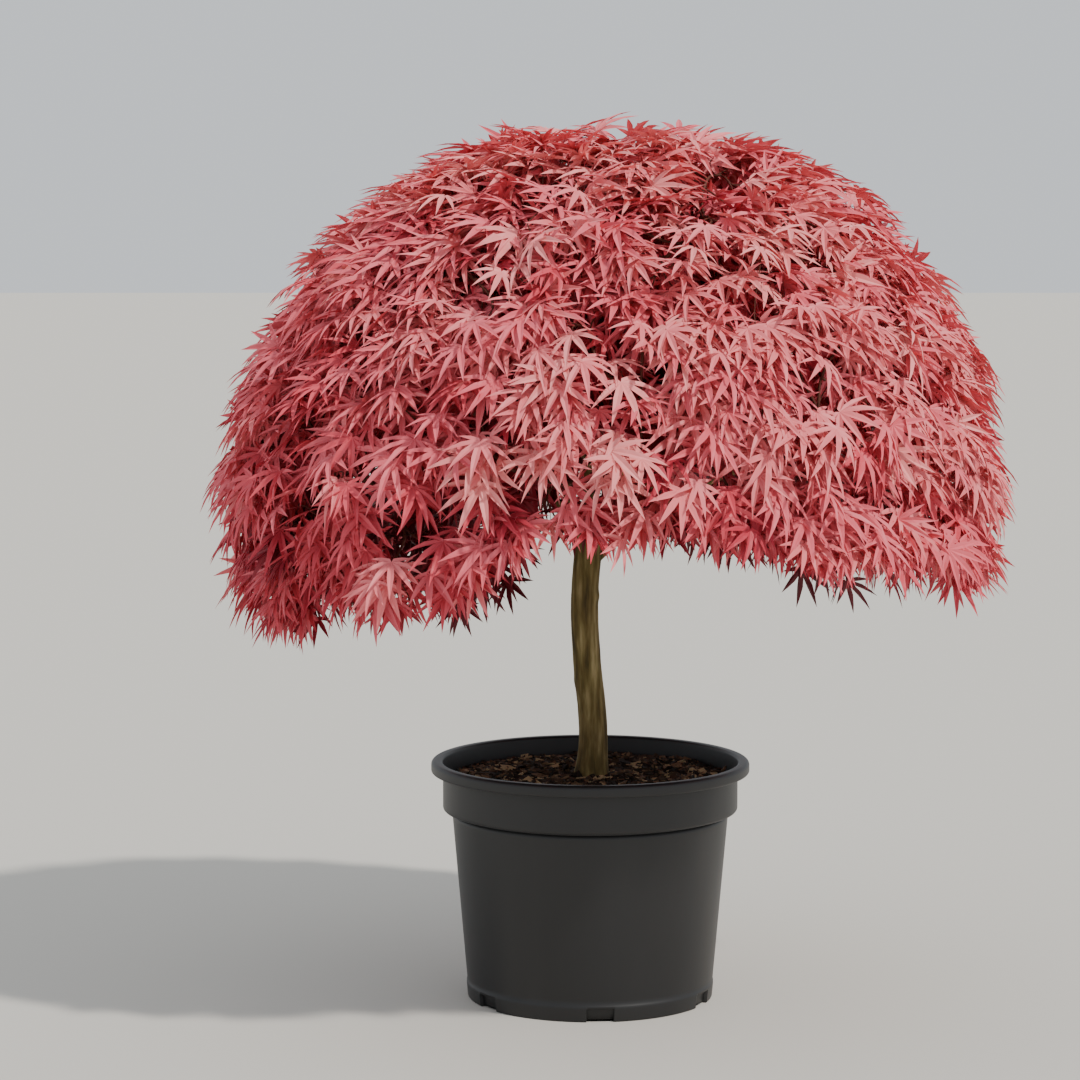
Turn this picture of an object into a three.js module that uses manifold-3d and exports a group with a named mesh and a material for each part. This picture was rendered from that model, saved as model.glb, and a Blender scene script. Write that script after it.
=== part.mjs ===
// A weeping maple grown as a small standard in a round plastic nursery pot.
// Millimetres, +Z up, +X to the right and -Y to the front. The origin is the centre of the pot's flat underside.
import * as THREE from "three";
import { mergeVertices } from "three/addons/utils/BufferGeometryUtils.js";
import Module from "manifold-3d";

const wasm = await Module();
wasm.setup();

// Driving dimensions
const POT_HEIGHT = 285;
const RIM_RADIUS = 190; // outside of the rolled rim
const RIM_DEPTH = 14; // height of the rolled rim
const COLLAR_RADIUS = 176; // the straight band under the rim
const COLLAR_DEPTH = 45;
const BODY_TOP_RADIUS = 165; // the tapered body where it meets the collar
const BODY_FOOT_RADIUS = 146;
const WALL = 3;
const FOOT_BAND_HEIGHT = 19; // a slightly proud band along the pot's foot
const FOOT_BAND_PROUD = 0.8;
const DRAIN_COUNT = 6;
const DRAIN_WIDTH = 32;
const DRAIN_HEIGHT = 15.5;
const DRAIN_DEPTH = 26;
const FRONT_DRAIN_AZIMUTH = 274; // degrees from +X, so 270 faces straight to the front
const DRAIN_HOOD = 2; // the wall round each drain pocket
const POT_SEGMENTS = 30;
const SOIL_SURFACE = 266;
const SOIL_LUMPS = 1.8;
const TRUNK_RADIUS = 16;
const ROOT_FLARE = 8;
const HEAD_SWELLING = 5; // the trunk thickens where it forks
const HEAD_ROUNDING = 11; // and is rounded off above the fork by this much
const FORK_HEIGHT = 545;
const CROWN_TOP = 1061;
const LEAF_COUNT = 225; // dealt over the whole crown
const LEAF_LENGTH = 111; // from the blade's centre to the middle lobe's tip, larger than life
const LEAF_THICKNESS = 3;
const LEAF_SWAY = 0.15;
const LEAF_ROLL = 14; // each leaf is tilted sideways by this many degrees, so that it lies over its neighbour
const HANG = { down: 0.8, out: 0.42 }; // the way its middle lobe points, along the skin and out of it
const FACING = { out: 0.8, up: 0.5 }; // the way its face looks
const LEAF_DROOP = 0.2; // how far the lobes' tips bend down, as a share of their length
const LEAF_MIDDLE = 0.7; // the share of a leaf's length from its tip to the point that says which mass it is in
const OVERHANG = 70; // how far a lobe may reach past its mass's border where nothing is in its way
const STALK = 30;
const STALK_LEAST = 12;
const STALK_MOST = 105;
const STALK_ALONG = 0.7; // the least part of a stalk's way that runs along its leaf
const STALK_BEND_COST = 1.8; // nearer to 1 means that a straight stalk is liked better than a short one
const BLADE_FOOT = 9; // the length of stalk that is taken with a blade when blades are kept apart
const TWIG_COUNT = 50; // the first leaves have a twig each, and the others hang from the nearest
const TWIG_INSET = 10;
const TWIG_TIP_RADIUS = 2.3;
const TWIG_BENT = 60; // a longer twig than this is made in two lengths
const TWIG_TAPER = 130; // a twig is one tip radius thicker at its foot for each such length
const TWIG_BEND_COST = 1.6;
const TWIG_SHARE = 0.85; // the most that a twig's foot may be of the twig that carries it
const TWIG_ROOM = 2 * TWIG_TIP_RADIUS; // the way that a twig keeps from its mass's border
const TWIG_CHECKS = 6;
const SLIDE_STEPS = 8;
const GAP_TWIGS = 6; // how many new twigs may be tried to fill one gap
const NODE_SPACING = 11;
const NODE_TRIES = 12;
const NODE_LAST = 0.95; // the share of a twig's way where its last node sits, clear of its end
const STEM_LENGTH = 24;
const GAP = 0.3; // clearance between pieces that touch
const SLIVERS = [0.2, 0.1, 0.3, 0.05, 0.5]; // fused solids are simplified by one of these, the one that serves best
const WELDS = [0.0001, 0.01, 0.03, 0.06]; // and vertices that lie this near to each other are made one
const ROUNDING = 1e-4;
const VOLUME_KEPT = 0.99; // a choice that loses more than the rest of this has come apart, and isn't taken
const THIN_ENOUGH = 0.004; // no more choices are made once every face is at least this high

// The crown's form, with one value for each eighth of a turn from +X, anticlockwise seen from above
const REACH = [514, 498, 480, 468, 467, 464, 468, 490]; // from the pot's axis to the furthest leaf tips
const WAIST = [490, 530, 550, 550, 542, 535, 569, 540]; // the height where it is widest
const EDGE = [445, 490, 505, 465, 410, 425, 525, 495]; // the height of its lowest leaf tips
const FULLNESS = [0.82, 0.85, 0.88, 0.95, 1, 0.95, 0.88, 0.85]; // 1 is an ellipse, and less is squarer
const FALL_END = 1.33; // the lower edge lies this far round from the top, where 1 is the waist

// The boughs: slopes in degrees above level, radii at the foot and the tip, and how their tips lie in the crown.
// A tip's fall is read as in crownPoint, and inward is its share of the way to the crown's heart.
const TOP_BOUGH = { rise: 14, departs: [100, 82], tip: [14, 12, 832], arrives: [30, 86], radii: [7.5, 4.6] };
const UPPER_BOUGH = { rises: [-8, 2], departs: 44, arrives: 34, fall: 0.5, inward: 0.44, radii: [6.6, 4.2] };
const SKIRT_BOUGH = { from: 0.36, departs: 24, arrives: -24, fall: 0.86, inward: 0.36, radii: [4.6, 3.4] };
const TRUNK_SKIRT = { name: "right", rise: -26, departs: 42 }; // the one skirt bough that leaves the trunk itself
const BOUGH_DEPARTS = 0.38; // the curve's handles, as shares of its length
const BOUGH_ARRIVES = 0.34;
const BOUGH_SIDES = 6;
const BOUGH_STEPS = 5;
const SEAT_INWARD = 0.2;

// The azimuths of the masses round the skirt and above them, in degrees from +X
const SKIRT_AZIMUTH = {
  right: 0,
  back_right: 45,
  back: 90,
  back_left: 135,
  left: 180,
  front_left: 225,
  front: 270,
  front_right: 315,
};
const UPPER_AZIMUTH = { right: 0, back_right: 60, back_left: 120, left: 180, front_left: 240, front_right: 300 };

const MATERIALS = {
  pot: new THREE.MeshStandardMaterial({ color: 0x2f2f2f, roughness: 0.55, metalness: 0 }),
  soil: new THREE.MeshStandardMaterial({ color: 0x33261b, roughness: 0.95, metalness: 0 }),
  bark: new THREE.MeshStandardMaterial({ color: 0x5f5232, roughness: 0.85, metalness: 0 }),
  leaf: new THREE.MeshStandardMaterial({ color: 0xd4606c, roughness: 0.6, metalness: 0 }),
};

const UP = new THREE.Vector3(0, 0, 1);
const vec = (x, y, z) => new THREE.Vector3(x, y, z);
const radians = (degrees) => THREE.MathUtils.degToRad(degrees);
const level = (azimuth) => vec(Math.cos(radians(azimuth)), Math.sin(radians(azimuth)), 0);
const heading = (azimuth, slope) =>
  level(azimuth).multiplyScalar(Math.cos(radians(slope))).setZ(Math.sin(radians(slope)));

// Solids and meshes

function solidOf(geometry, weld = ROUNDING) {
  const bare = new THREE.BufferGeometry().setAttribute("position", geometry.getAttribute("position"));
  if (geometry.index) bare.setIndex(geometry.index);
  const merged = mergeVertices(bare, weld);
  const corners = [...merged.index.array];
  const isFace = (k) => new Set(corners.slice(k, k + 3)).size === 3;
  return new wasm.Manifold(
    new wasm.Mesh({
      numProp: 3,
      vertProperties: new Float32Array(merged.attributes.position.array),
      triVerts: new Uint32Array(corners.filter((_, i) => isFace(i - (i % 3)))),
    }),
  );
}

function geometryOf(solid) {
  const made = solid.getMesh();
  const geometry = new THREE.BufferGeometry();
  geometry.setAttribute("position", new THREE.BufferAttribute(made.vertProperties, 3));
  geometry.setIndex(new THREE.BufferAttribute(made.triVerts, 1));
  return geometry;
}

function meshOf(name, solid, material) {
  const geometry = geometryOf(solid);
  geometry.computeVertexNormals();
  const mesh = new THREE.Mesh(geometry, material.clone());
  mesh.name = name;
  return mesh;
}

// The height of a solid's thinnest face, or 0 where four faces share an edge
function thinnestFace(solid) {
  const merged = mergeVertices(geometryOf(solid), ROUNDING);
  const faces = merged.index.array;
  const corners = [0, 1, 2].map(() => vec(0, 0, 0));
  const seen = new Set();
  let thinnest = Infinity;
  for (let i = 0; i < faces.length; i += 3) {
    corners.forEach((corner, k) => corner.fromBufferAttribute(merged.getAttribute("position"), faces[i + k]));
    const sides = corners.map((corner, k) => corner.distanceTo(corners[(k + 1) % 3]));
    thinnest = Math.min(thinnest, (2 * new THREE.Triangle(...corners).getArea()) / Math.max(...sides));
    for (let k = 0; k < 3; k++) seen.add(faces[i + k] + ">" + faces[i + ((k + 1) % 3)]);
  }
  return seen.size < faces.length ? 0 : thinnest;
}

function welded(solid, weld) {
  try {
    return solidOf(geometryOf(solid), weld);
  } catch {
    return solid;
  }
}

// The one closed body that a fused solid mostly is: scraps are dropped, sealed hollows are filled and faces too thin
// to last are closed up.
function largestPiece(solid) {
  const largestOf = (pieces) => pieces.reduce((most, other) => (other.volume() > most.volume() ? other : most));
  const whole = largestOf(solid.decompose());
  let best = { piece: whole, thinnest: thinnestFace(whole) };
  for (const weld of WELDS) {
    for (const sliver of SLIVERS) {
      const piece = largestOf(welded(welded(whole.simplify(sliver), weld), ROUNDING).decompose());
      const thinnest = piece.volume() > VOLUME_KEPT * whole.volume() ? thinnestFace(piece) : 0;
      if (thinnest > best.thinnest) best = { piece, thinnest };
      if (best.thinnest > THIN_ENOUGH) return best.piece;
    }
  }
  return best.piece;
}

// A turned solid: the profile's points are [radius, height], from the axis at the foot round to the axis again.
function turned(profile, segments) {
  const lathe = new THREE.LatheGeometry(profile.map(([r, z]) => new THREE.Vector2(r, z)), segments);
  return lathe.rotateX(Math.PI / 2);
}

// A limb is a cylinder laid along a curve, its radius given at each share of the way and each turn round it.
function limb(curve, radiusAt, sides, steps) {
  const cylinder = new THREE.CylinderGeometry(1, 1, 1, sides, steps);
  const frames = curve.computeFrenetFrames(steps, false);
  const position = cylinder.getAttribute("position");
  for (let i = 0; i < position.count; i++) {
    const share = 0.5 - position.getY(i);
    const step = Math.round(share * steps);
    const x = position.getX(i);
    const y = position.getZ(i);
    const radius = radiusAt(share, Math.atan2(y, x));
    const centre = curve.getPoint(share);
    centre.addScaledVector(frames.normals[step], x * radius).addScaledVector(frames.binormals[step], -y * radius);
    position.setXYZ(i, centre.x, centre.y, centre.z);
  }
  const solid = solidOf(cylinder);
  return solid.volume() < 0 ? solidOf(turnedRound(cylinder)) : solid;
}

function turnedRound(geometry) {
  const index = geometry.index.array;
  for (let i = 0; i < index.length; i += 3) [index[i + 1], index[i + 2]] = [index[i + 2], index[i + 1]];
  return geometry;
}

// The crown's outer skin, which the leaf tips reach

function roundTheCrown(values, azimuth) {
  const place = THREE.MathUtils.euclideanModulo(azimuth / 45, values.length);
  const low = Math.floor(place);
  const ease = (1 - Math.cos(Math.PI * (place - low))) / 2;
  return THREE.MathUtils.lerp(values[low], values[(low + 1) % values.length], ease);
}

// fall is 0 at the crown's top, 1 at its waist and FALL_END at its lower edge.
function crownPoint(azimuth, fall) {
  const angle = Math.max(fall, 1e-4) * (Math.PI / 2);
  const fullness = roundTheCrown(FULLNESS, azimuth);
  const waist = roundTheCrown(WAIST, azimuth);
  const out = roundTheCrown(REACH, azimuth) * Math.sin(angle) ** fullness;
  const rise = Math.abs(Math.cos(angle)) ** fullness;
  const lowest = Math.abs(Math.cos((FALL_END * Math.PI) / 2)) ** fullness;
  const depth = (waist - roundTheCrown(EDGE, azimuth)) / lowest;
  const height = waist + (fall < 1 ? CROWN_TOP - waist : -depth) * rise;
  return vec(out * Math.cos(radians(azimuth)), out * Math.sin(radians(azimuth)), height);
}

// The skin's way down and its way out at a place. Under the waist they stay as they are there, as leaves hang.
function crownFrame(azimuth, fall) {
  const place = THREE.MathUtils.clamp(fall, 0.04, 0.96);
  const down = crownPoint(azimuth, place + 0.03).sub(crownPoint(azimuth, place - 0.03)).normalize();
  const round = vec(-Math.sin(radians(azimuth)), Math.cos(radians(azimuth)), 0);
  const out = new THREE.Vector3().crossVectors(down, round).normalize();
  return { point: crownPoint(azimuth, fall), down, out };
}

const HEART = vec(15, 0, 590);
const inward = (point, share) => point.clone().lerp(HEART, share);

// Seeded numbers: the fraction of a fast sine, and a sequence that stays even however far it is read
const fraction = (x) => x - Math.floor(x);
const seeded = (i, channel) => fraction(Math.sin(i * 12.9898 + channel * 78.233) * 43758.5453);

// Places dealt evenly over the skin: each ring of it gets its share by its area.
const RINGS = 60;
const ringAreas = Array.from({ length: RINGS }, (_, k) => {
  const [above, below] = [0, 1].map((step) => crownPoint(200, (FALL_END * (k + step)) / RINGS));
  return above.distanceTo(below) * (Math.hypot(above.x, above.y) + Math.hypot(below.x, below.y));
});
const skinArea = ringAreas.reduce((sum, area) => sum + area, 0);

function fallAt(share) {
  let left = share * skinArea;
  for (let k = 0; k < RINGS; k++) {
    if (left < ringAreas[k]) return (FALL_END * (k + left / ringAreas[k])) / RINGS;
    left -= ringAreas[k];
  }
  return FALL_END;
}

// Steps of these two shares of a whole turn stay evenly spread over a square however many are taken.
const EVEN_STEPS = [0.5698402909980532, 0.7548776662466927];

function crownPlace(i) {
  const [turn, share] = EVEN_STEPS.map((step) => fraction(0.5 + (i + 1) * step));
  return { azimuth: 360 * turn, fall: fallAt(share) };
}

// Pot: a tapered body with a straight collar, a rolled rim and moulded drain pockets round its foot

const RIM_FOOT = POT_HEIGHT - RIM_DEPTH;
const COLLAR_FOOT = RIM_FOOT - COLLAR_DEPTH;

// The inside of the wall from its foot up to the rim, or a line clear of it for what fills the pot
const insideOfPot = (clear) => [
  [BODY_FOOT_RADIUS - WALL - clear, WALL + clear],
  [BODY_TOP_RADIUS - WALL - clear, COLLAR_FOOT - 4 + clear],
  [COLLAR_RADIUS - WALL - 1 - clear, COLLAR_FOOT + 4 + clear],
];

function potProfile() {
  const bandRadius = BODY_FOOT_RADIUS + FOOT_BAND_PROUD + 1.2;
  return [
    [0, 0],
    [BODY_FOOT_RADIUS - 2, 0],
    [BODY_FOOT_RADIUS + FOOT_BAND_PROUD, 2],
    [bandRadius, FOOT_BAND_HEIGHT],
    [bandRadius - FOOT_BAND_PROUD, FOOT_BAND_HEIGHT + 0.8],
    [BODY_TOP_RADIUS, COLLAR_FOOT - 2],
    [COLLAR_RADIUS - 1, COLLAR_FOOT],
    [COLLAR_RADIUS, RIM_FOOT - 4],
    [COLLAR_RADIUS + 2, RIM_FOOT + 1],
    [RIM_RADIUS - 2.5, RIM_FOOT],
    [RIM_RADIUS, RIM_FOOT + 3],
    [RIM_RADIUS, POT_HEIGHT - 5],
    [RIM_RADIUS - 3.5, POT_HEIGHT],
    [RIM_RADIUS - 10, POT_HEIGHT],
    [RIM_RADIUS - 12, POT_HEIGHT - 4],
    [COLLAR_RADIUS - WALL, RIM_FOOT - 4],
    ...insideOfPot(0).reverse(),
    [0, WALL],
  ];
}

const drainAzimuths = Array.from({ length: DRAIN_COUNT }, (_, i) => FRONT_DRAIN_AZIMUTH + (i * 360) / DRAIN_COUNT);

// A block lying along one radius at the pot's foot, grown on its closed sides
function drainBlock(azimuth, grow) {
  const inner = BODY_FOOT_RADIUS - DRAIN_DEPTH - grow;
  const outer = BODY_FOOT_RADIUS + 20;
  const block = new THREE.BoxGeometry(outer - inner, DRAIN_WIDTH + 2 * grow, DRAIN_HEIGHT + grow + 20);
  block.translate((inner + outer) / 2, 0, (DRAIN_HEIGHT + grow - 20) / 2);
  return solidOf(block.rotateZ(radians(azimuth)));
}

const drainBlocks = (grow) => wasm.Manifold.union(drainAzimuths.map((azimuth) => drainBlock(azimuth, grow)));

function potSolid() {
  const shell = solidOf(turned(potProfile(), POT_SEGMENTS));
  const withinWall = [[0, 0], [BODY_FOOT_RADIUS - 1, 0], [BODY_FOOT_RADIUS + 1, 2 * DRAIN_HEIGHT], [0, 2 * DRAIN_HEIGHT]];
  const hoods = drainBlocks(DRAIN_HOOD).intersect(solidOf(turned(withinWall, POT_SEGMENTS)));
  return shell.add(hoods).subtract(drainBlocks(0));
}

// Soil: what fills the pot to just under its rim, a little uneven on top

function soilSolid() {
  const profile = [
    [0, WALL + GAP],
    ...insideOfPot(GAP),
    [COLLAR_RADIUS - WALL - 1 - GAP, SOIL_SURFACE - 5],
    [COLLAR_RADIUS * 0.72, SOIL_SURFACE - 1],
    [COLLAR_RADIUS * 0.42, SOIL_SURFACE - 2],
    [TRUNK_RADIUS + ROOT_FLARE + 8, SOIL_SURFACE],
    [0, SOIL_SURFACE],
  ];
  const geometry = turned(profile, POT_SEGMENTS);
  const position = geometry.getAttribute("position");
  for (let i = 0; i < position.count; i++) {
    const [x, y, z] = [position.getX(i), position.getY(i), position.getZ(i)];
    if (z > SOIL_SURFACE - 3 && Math.hypot(x, y) > TRUNK_RADIUS + ROOT_FLARE + 10)
      position.setZ(i, z + SOIL_LUMPS * (Math.sin(x * 0.041 + 1) * Math.cos(y * 0.037) - 0.7));
  }
  return solidOf(geometry).subtract(drainBlocks(DRAIN_HOOD + GAP));
}

// Trunk

const trunkCurve = new THREE.CatmullRomCurve3([
  vec(1.5, 1, SOIL_SURFACE - 12),
  vec(3.5, 2, 320),
  vec(-4, 1, 405),
  vec(-7, -2, 475),
  vec(-2, 0, FORK_HEIGHT),
  vec(0, 1, FORK_HEIGHT + 22),
]);

function trunkRadius(share, turn, grow) {
  const flare = ROOT_FLARE * Math.exp(-share / 0.055) * (1 + 0.35 * Math.cos(3 * turn + 0.6));
  const head = HEAD_SWELLING * THREE.MathUtils.smoothstep(share, 0.76, 0.9);
  const crownOfHead = HEAD_ROUNDING * THREE.MathUtils.smoothstep(share, 0.93, 1.02);
  return TRUNK_RADIUS + 1.6 * Math.exp(-share / 0.3) + flare + head - crownOfHead + grow;
}

// It stands on a flat cut at the soil's surface.
function trunkLimb(grow) {
  const whole = limb(trunkCurve, (share, turn) => trunkRadius(share, turn, grow), 12, 14);
  const below = new THREE.BoxGeometry(200, 200, 100).translate(0, 0, SOIL_SURFACE + GAP - 50);
  return whole.subtract(solidOf(below));
}

// Boughs: a head of seven from the trunk, one to each upper mass and one on up to the top, and from these the
// thinner ones that arch out to the skirts

function boughCurve(start, departs, tip, arrives) {
  const length = start.distanceTo(tip);
  return new THREE.CubicBezierCurve3(
    start,
    start.clone().addScaledVector(departs, length * BOUGH_DEPARTS),
    tip.clone().addScaledVector(arrives, -length * BOUGH_ARRIVES),
    tip,
  );
}

const head = (rise) => vec(-1, 0, FORK_HEIGHT + rise);
const turnBetween = (a, b) => Math.abs(THREE.MathUtils.euclideanModulo(a - b + 180, 360) - 180);
const crownTip = ({ fall, inward: share }, azimuth) => inward(crownPoint(azimuth, fall), share);

function topBough() {
  const { rise, departs, tip, arrives, radii } = TOP_BOUGH;
  const curve = boughCurve(head(rise), heading(...departs), vec(...tip), heading(...arrives));
  return { mass: "top", parent: null, curve, radii, seat: { azimuth: 0, fall: 0 } };
}

function upperBough([name, azimuth], i) {
  const { rises, departs, arrives, fall, radii } = UPPER_BOUGH;
  const start = head(rises[i % rises.length]);
  const curve = boughCurve(start, heading(azimuth, departs), crownTip(UPPER_BOUGH, azimuth), heading(azimuth, arrives));
  return { mass: "upper_" + name, parent: null, curve, radii, seat: { azimuth, fall } };
}

// A skirt bough leaves the nearest upper bough, and one that carries none already where there is a choice.
function skirtParent(uppers, azimuth) {
  const nearest = [...uppers].sort((a, b) => turnBetween(a.seat.azimuth, azimuth) - turnBetween(b.seat.azimuth, azimuth));
  const parent = nearest.find((bough) => !bough.carries) || nearest[0];
  parent.carries = true;
  return parent;
}

function skirtBough([name, azimuth], uppers) {
  const { from, arrives, fall, radii } = SKIRT_BOUGH;
  const fromTrunk = name === TRUNK_SKIRT.name;
  const parent = fromTrunk ? null : skirtParent(uppers, azimuth);
  const start = fromTrunk ? head(TRUNK_SKIRT.rise) : parent.curve.getPoint(from);
  const departs = fromTrunk ? TRUNK_SKIRT.departs : SKIRT_BOUGH.departs;
  const curve = boughCurve(start, heading(azimuth, departs), crownTip(SKIRT_BOUGH, azimuth), heading(azimuth, arrives));
  return { mass: "skirt_" + name, parent, curve, radii, seat: { azimuth, fall } };
}

const uppers = Object.entries(UPPER_AZIMUTH).map(upperBough);
const skirts = Object.entries(SKIRT_AZIMUTH).map((entry) => skirtBough(entry, uppers));
const boughs = [topBough(), ...uppers, ...skirts];
const boughLimb = ({ curve, radii }, grow) =>
  limb(curve, (share) => THREE.MathUtils.lerp(...radii, share) + grow, BOUGH_SIDES, BOUGH_STEPS);

const trunk = trunkLimb(0);
const grownTrunk = trunkLimb(GAP);
for (const bough of boughs) {
  bough.grown = boughLimb(bough, GAP);
  const whole = boughLimb(bough, 0).subtract(grownTrunk);
  bough.solid = largestPiece(bough.parent ? whole.subtract(bough.parent.grown) : whole);
}

// Foliage: each mass grows from its bough's tip and keeps to the part of the crown that lies nearest to its seat

const masses = boughs.map((bough) => ({
  name: "foliage_" + bough.mass,
  bough,
  seat: inward(crownPoint(bough.seat.azimuth, bough.seat.fall), SEAT_INWARD),
}));

// How far a point lies inside the mass's own space.
function roomIn(mass, point) {
  let room = Infinity;
  for (const other of masses) {
    if (other === mass) continue;
    const span = other.seat.distanceTo(mass.seat);
    room = Math.min(room, (point.distanceToSquared(other.seat) - point.distanceToSquared(mass.seat)) / (2 * span));
  }
  return room;
}

// A leaf's outline as [turn from the middle lobe in degrees, reach]: five pointed lobes, and a stalk behind
const LEAF_HALF = [
  [0, 1],
  [21, 0.4],
  [43, 0.9],
  [66, 0.36],
  [94, 0.64],
  [132, 0.16],
];

// How a leaf may be placed, in the order of liking: [size, how far inside the skin, how far towards the seat]
const triesOf = (sizes, insets, draws) =>
  sizes.flatMap((size) => insets.flatMap((inset) => draws.map((drawn) => [size, inset, drawn])));
const LEAF_TRIES = triesOf([1, 0.82, 0.66], [0, 14, 28], [0, 0.12, 0.24]);
const GAP_TRIES = triesOf([1, 0.8], [10, 45, 80], [-0.2, 0, 0.2, 0.4]);

function leafOutline(centre, axis, face, length) {
  const side = new THREE.Vector3().crossVectors(face, axis).normalize();
  const place = ([turn, share]) =>
    centre
      .clone()
      .addScaledVector(axis, Math.cos(radians(turn)) * share * length)
      .addScaledVector(side, Math.sin(radians(turn)) * share * length)
      .addScaledVector(face, -LEAF_DROOP * share * share * length);
  return { right: LEAF_HALF.map(place), left: LEAF_HALF.slice(1).reverse().map(([turn, share]) => place([-turn, share])) };
}

function leafSolid(outline, centre, face, root) {
  const rim = [...outline.right, root, ...outline.left];
  const top = centre.clone().addScaledVector(face, LEAF_THICKNESS / 2);
  const underside = centre.clone().addScaledVector(face, -LEAF_THICKNESS / 2);
  const points = [...rim, top, underside];
  const faces = rim.flatMap((_, i) => {
    const next = (i + 1) % rim.length;
    return [i, next, rim.length, next, i, rim.length + 1];
  });
  return new wasm.Manifold(
    new wasm.Mesh({
      numProp: 3,
      vertProperties: new Float32Array(points.flatMap((p) => p.toArray())),
      triVerts: new Uint32Array(faces),
    }),
  );
}

// The way a leaf hangs at a place on the crown: its middle lobe points down and out, and its face up and out.
function hang(place, i, inset = 0) {
  const { point, down, out } = crownFrame(place.azimuth, place.fall);
  const round = new THREE.Vector3().crossVectors(out, down);
  const axis = down
    .clone()
    .multiplyScalar(HANG.down)
    .addScaledVector(out, HANG.out)
    .addScaledVector(round, LEAF_SWAY * (seeded(i, 1) - 0.5))
    .normalize();
  const face = out.clone().multiplyScalar(FACING.out).addScaledVector(UP, FACING.up);
  face.addScaledVector(round, LEAF_SWAY * (seeded(i, 2) - 0.5));
  face.addScaledVector(axis, -face.dot(axis)).normalize().applyAxisAngle(axis, radians(LEAF_ROLL));
  return { tip: point.addScaledVector(out, -inset), axis, face };
}

const towards = (from, to, share) => from + share * (THREE.MathUtils.euclideanModulo(to - from + 180, 360) - 180);

// A place moved along the skin towards the middle of its mass
function drawnIn(place, seat, share) {
  return {
    azimuth: seat.fall ? towards(place.azimuth, seat.azimuth, share) : place.azimuth,
    fall: THREE.MathUtils.lerp(place.fall, seat.fall, share),
  };
}

// The masses nearest to a leaf, the one that it belongs to first
function massesOfLeaf(place, i) {
  const { tip, axis } = hang(place, i);
  const middle = tip.addScaledVector(axis, -LEAF_LENGTH * LEAF_MIDDLE);
  return [...masses].sort((a, b) => a.seat.distanceTo(middle) - b.seat.distanceTo(middle)).slice(0, 2);
}

// Grown pieces, each with its mass, and the tests that keep them apart
const twigs = [];
const leaves = [];
const pieceOf = (mass, solid) => ({ mass, solid, box: solid.boundingBox() });
const apart = (a, b) => [0, 1, 2].some((k) => a.box.min[k] > b.box.max[k] || b.box.min[k] > a.box.max[k]);
const clear = (piece, others) => others.every((other) => apart(piece, other) || piece.solid.intersect(other.solid).isEmpty());
const elsewhere = (pieces, mass) => pieces.filter((piece) => piece.mass !== mass);
const limbPieces = [grownTrunk, ...boughs.map((bough) => bough.grown)].map((solid) => pieceOf(null, solid));

// A twig and the nodes along it. They sit on the straight lengths that its limb is made of.
function addTwig(mass, curve, foot, last, sides, steps) {
  const radiusAt = (share) => THREE.MathUtils.lerp(foot, last, share);
  const piece = pieceOf(mass, limb(curve, radiusAt, sides, steps));
  const count = Math.ceil(curve.getLength() / NODE_SPACING);
  const nodeAt = (share) => {
    const step = Math.min(Math.floor(share * steps), steps - 1);
    const [from, to] = [step, step + 1].map((end) => curve.getPoint(end / steps));
    return { point: from.lerp(to, share * steps - step), direction: curve.getTangent(share), radius: radiusAt(share) };
  };
  return { piece, nodes: Array.from({ length: count }, (_, k) => nodeAt((NODE_LAST * (k + 1)) / count)) };
}

// A twig runs to its root place from the node that it reaches with the least way and bend.
function growTwig(mass, root, axis) {
  const cost = (node) => {
    const way = root.clone().sub(node.point);
    return way.length() * (TWIG_BEND_COST - way.normalize().dot(node.direction));
  };
  const nearest = [...mass.nodes].sort((a, b) => cost(a) - cost(b)).slice(0, NODE_TRIES);
  for (const node of nearest) {
    const curve = boughCurve(node.point, node.direction, root, axis);
    if (Math.min(...curve.getPoints(TWIG_CHECKS).map((p) => roomIn(mass, p))) < TWIG_ROOM) continue;
    const length = curve.getLength();
    const foot = Math.min(node.radius * TWIG_SHARE, TWIG_TIP_RADIUS * (1 + length / TWIG_TAPER));
    const { piece, nodes } = addTwig(mass, curve, foot, TWIG_TIP_RADIUS, 3, length > TWIG_BENT ? 2 : 1);
    const others = [...limbPieces, ...elsewhere(twigs, mass), ...leaves];
    if (!clear(piece, others)) continue;
    twigs.push(piece);
    mass.nodes.push(...nodes);
    return nodes[nodes.length - 1];
  }
  return null;
}

function startMass(mass) {
  const { bough } = mass;
  const start = bough.curve.getPoint(1);
  const direction = bough.curve.getTangent(1);
  const stem = new THREE.LineCurve3(
    start.clone().addScaledVector(direction, GAP),
    start.clone().addScaledVector(direction, STEM_LENGTH),
  );
  const [, tipRadius] = bough.radii;
  const { piece, nodes } = addTwig(mass, stem, tipRadius + GAP, tipRadius, BOUGH_SIDES, 1);
  twigs.push(piece);
  mass.nodes = nodes;
}

// The node that a leaf's stalk reaches best from behind
function stalkNode(mass, centre, axis) {
  const cost = (node) => {
    const way = centre.clone().sub(node.point);
    const along = way.dot(axis) / way.length();
    const reach = way.length();
    const fits = along > STALK_ALONG && reach > STALK_LEAST && reach < STALK_MOST && !node.taken;
    return fits ? reach * (STALK_BEND_COST - along) : Infinity;
  };
  const best = mass.nodes.reduce((best, other) => (cost(other) < cost(best) ? other : best));
  return cost(best) < Infinity ? best : null;
}

// A twig's end, slid on under its leaf until it lies in its mass's own space
function slideIn(mass, root, axis, step) {
  for (let k = 0; k < SLIDE_STEPS && roomIn(mass, root) < TWIG_ROOM + 2; k++) root.addScaledVector(axis, step);
  return root;
}

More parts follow.
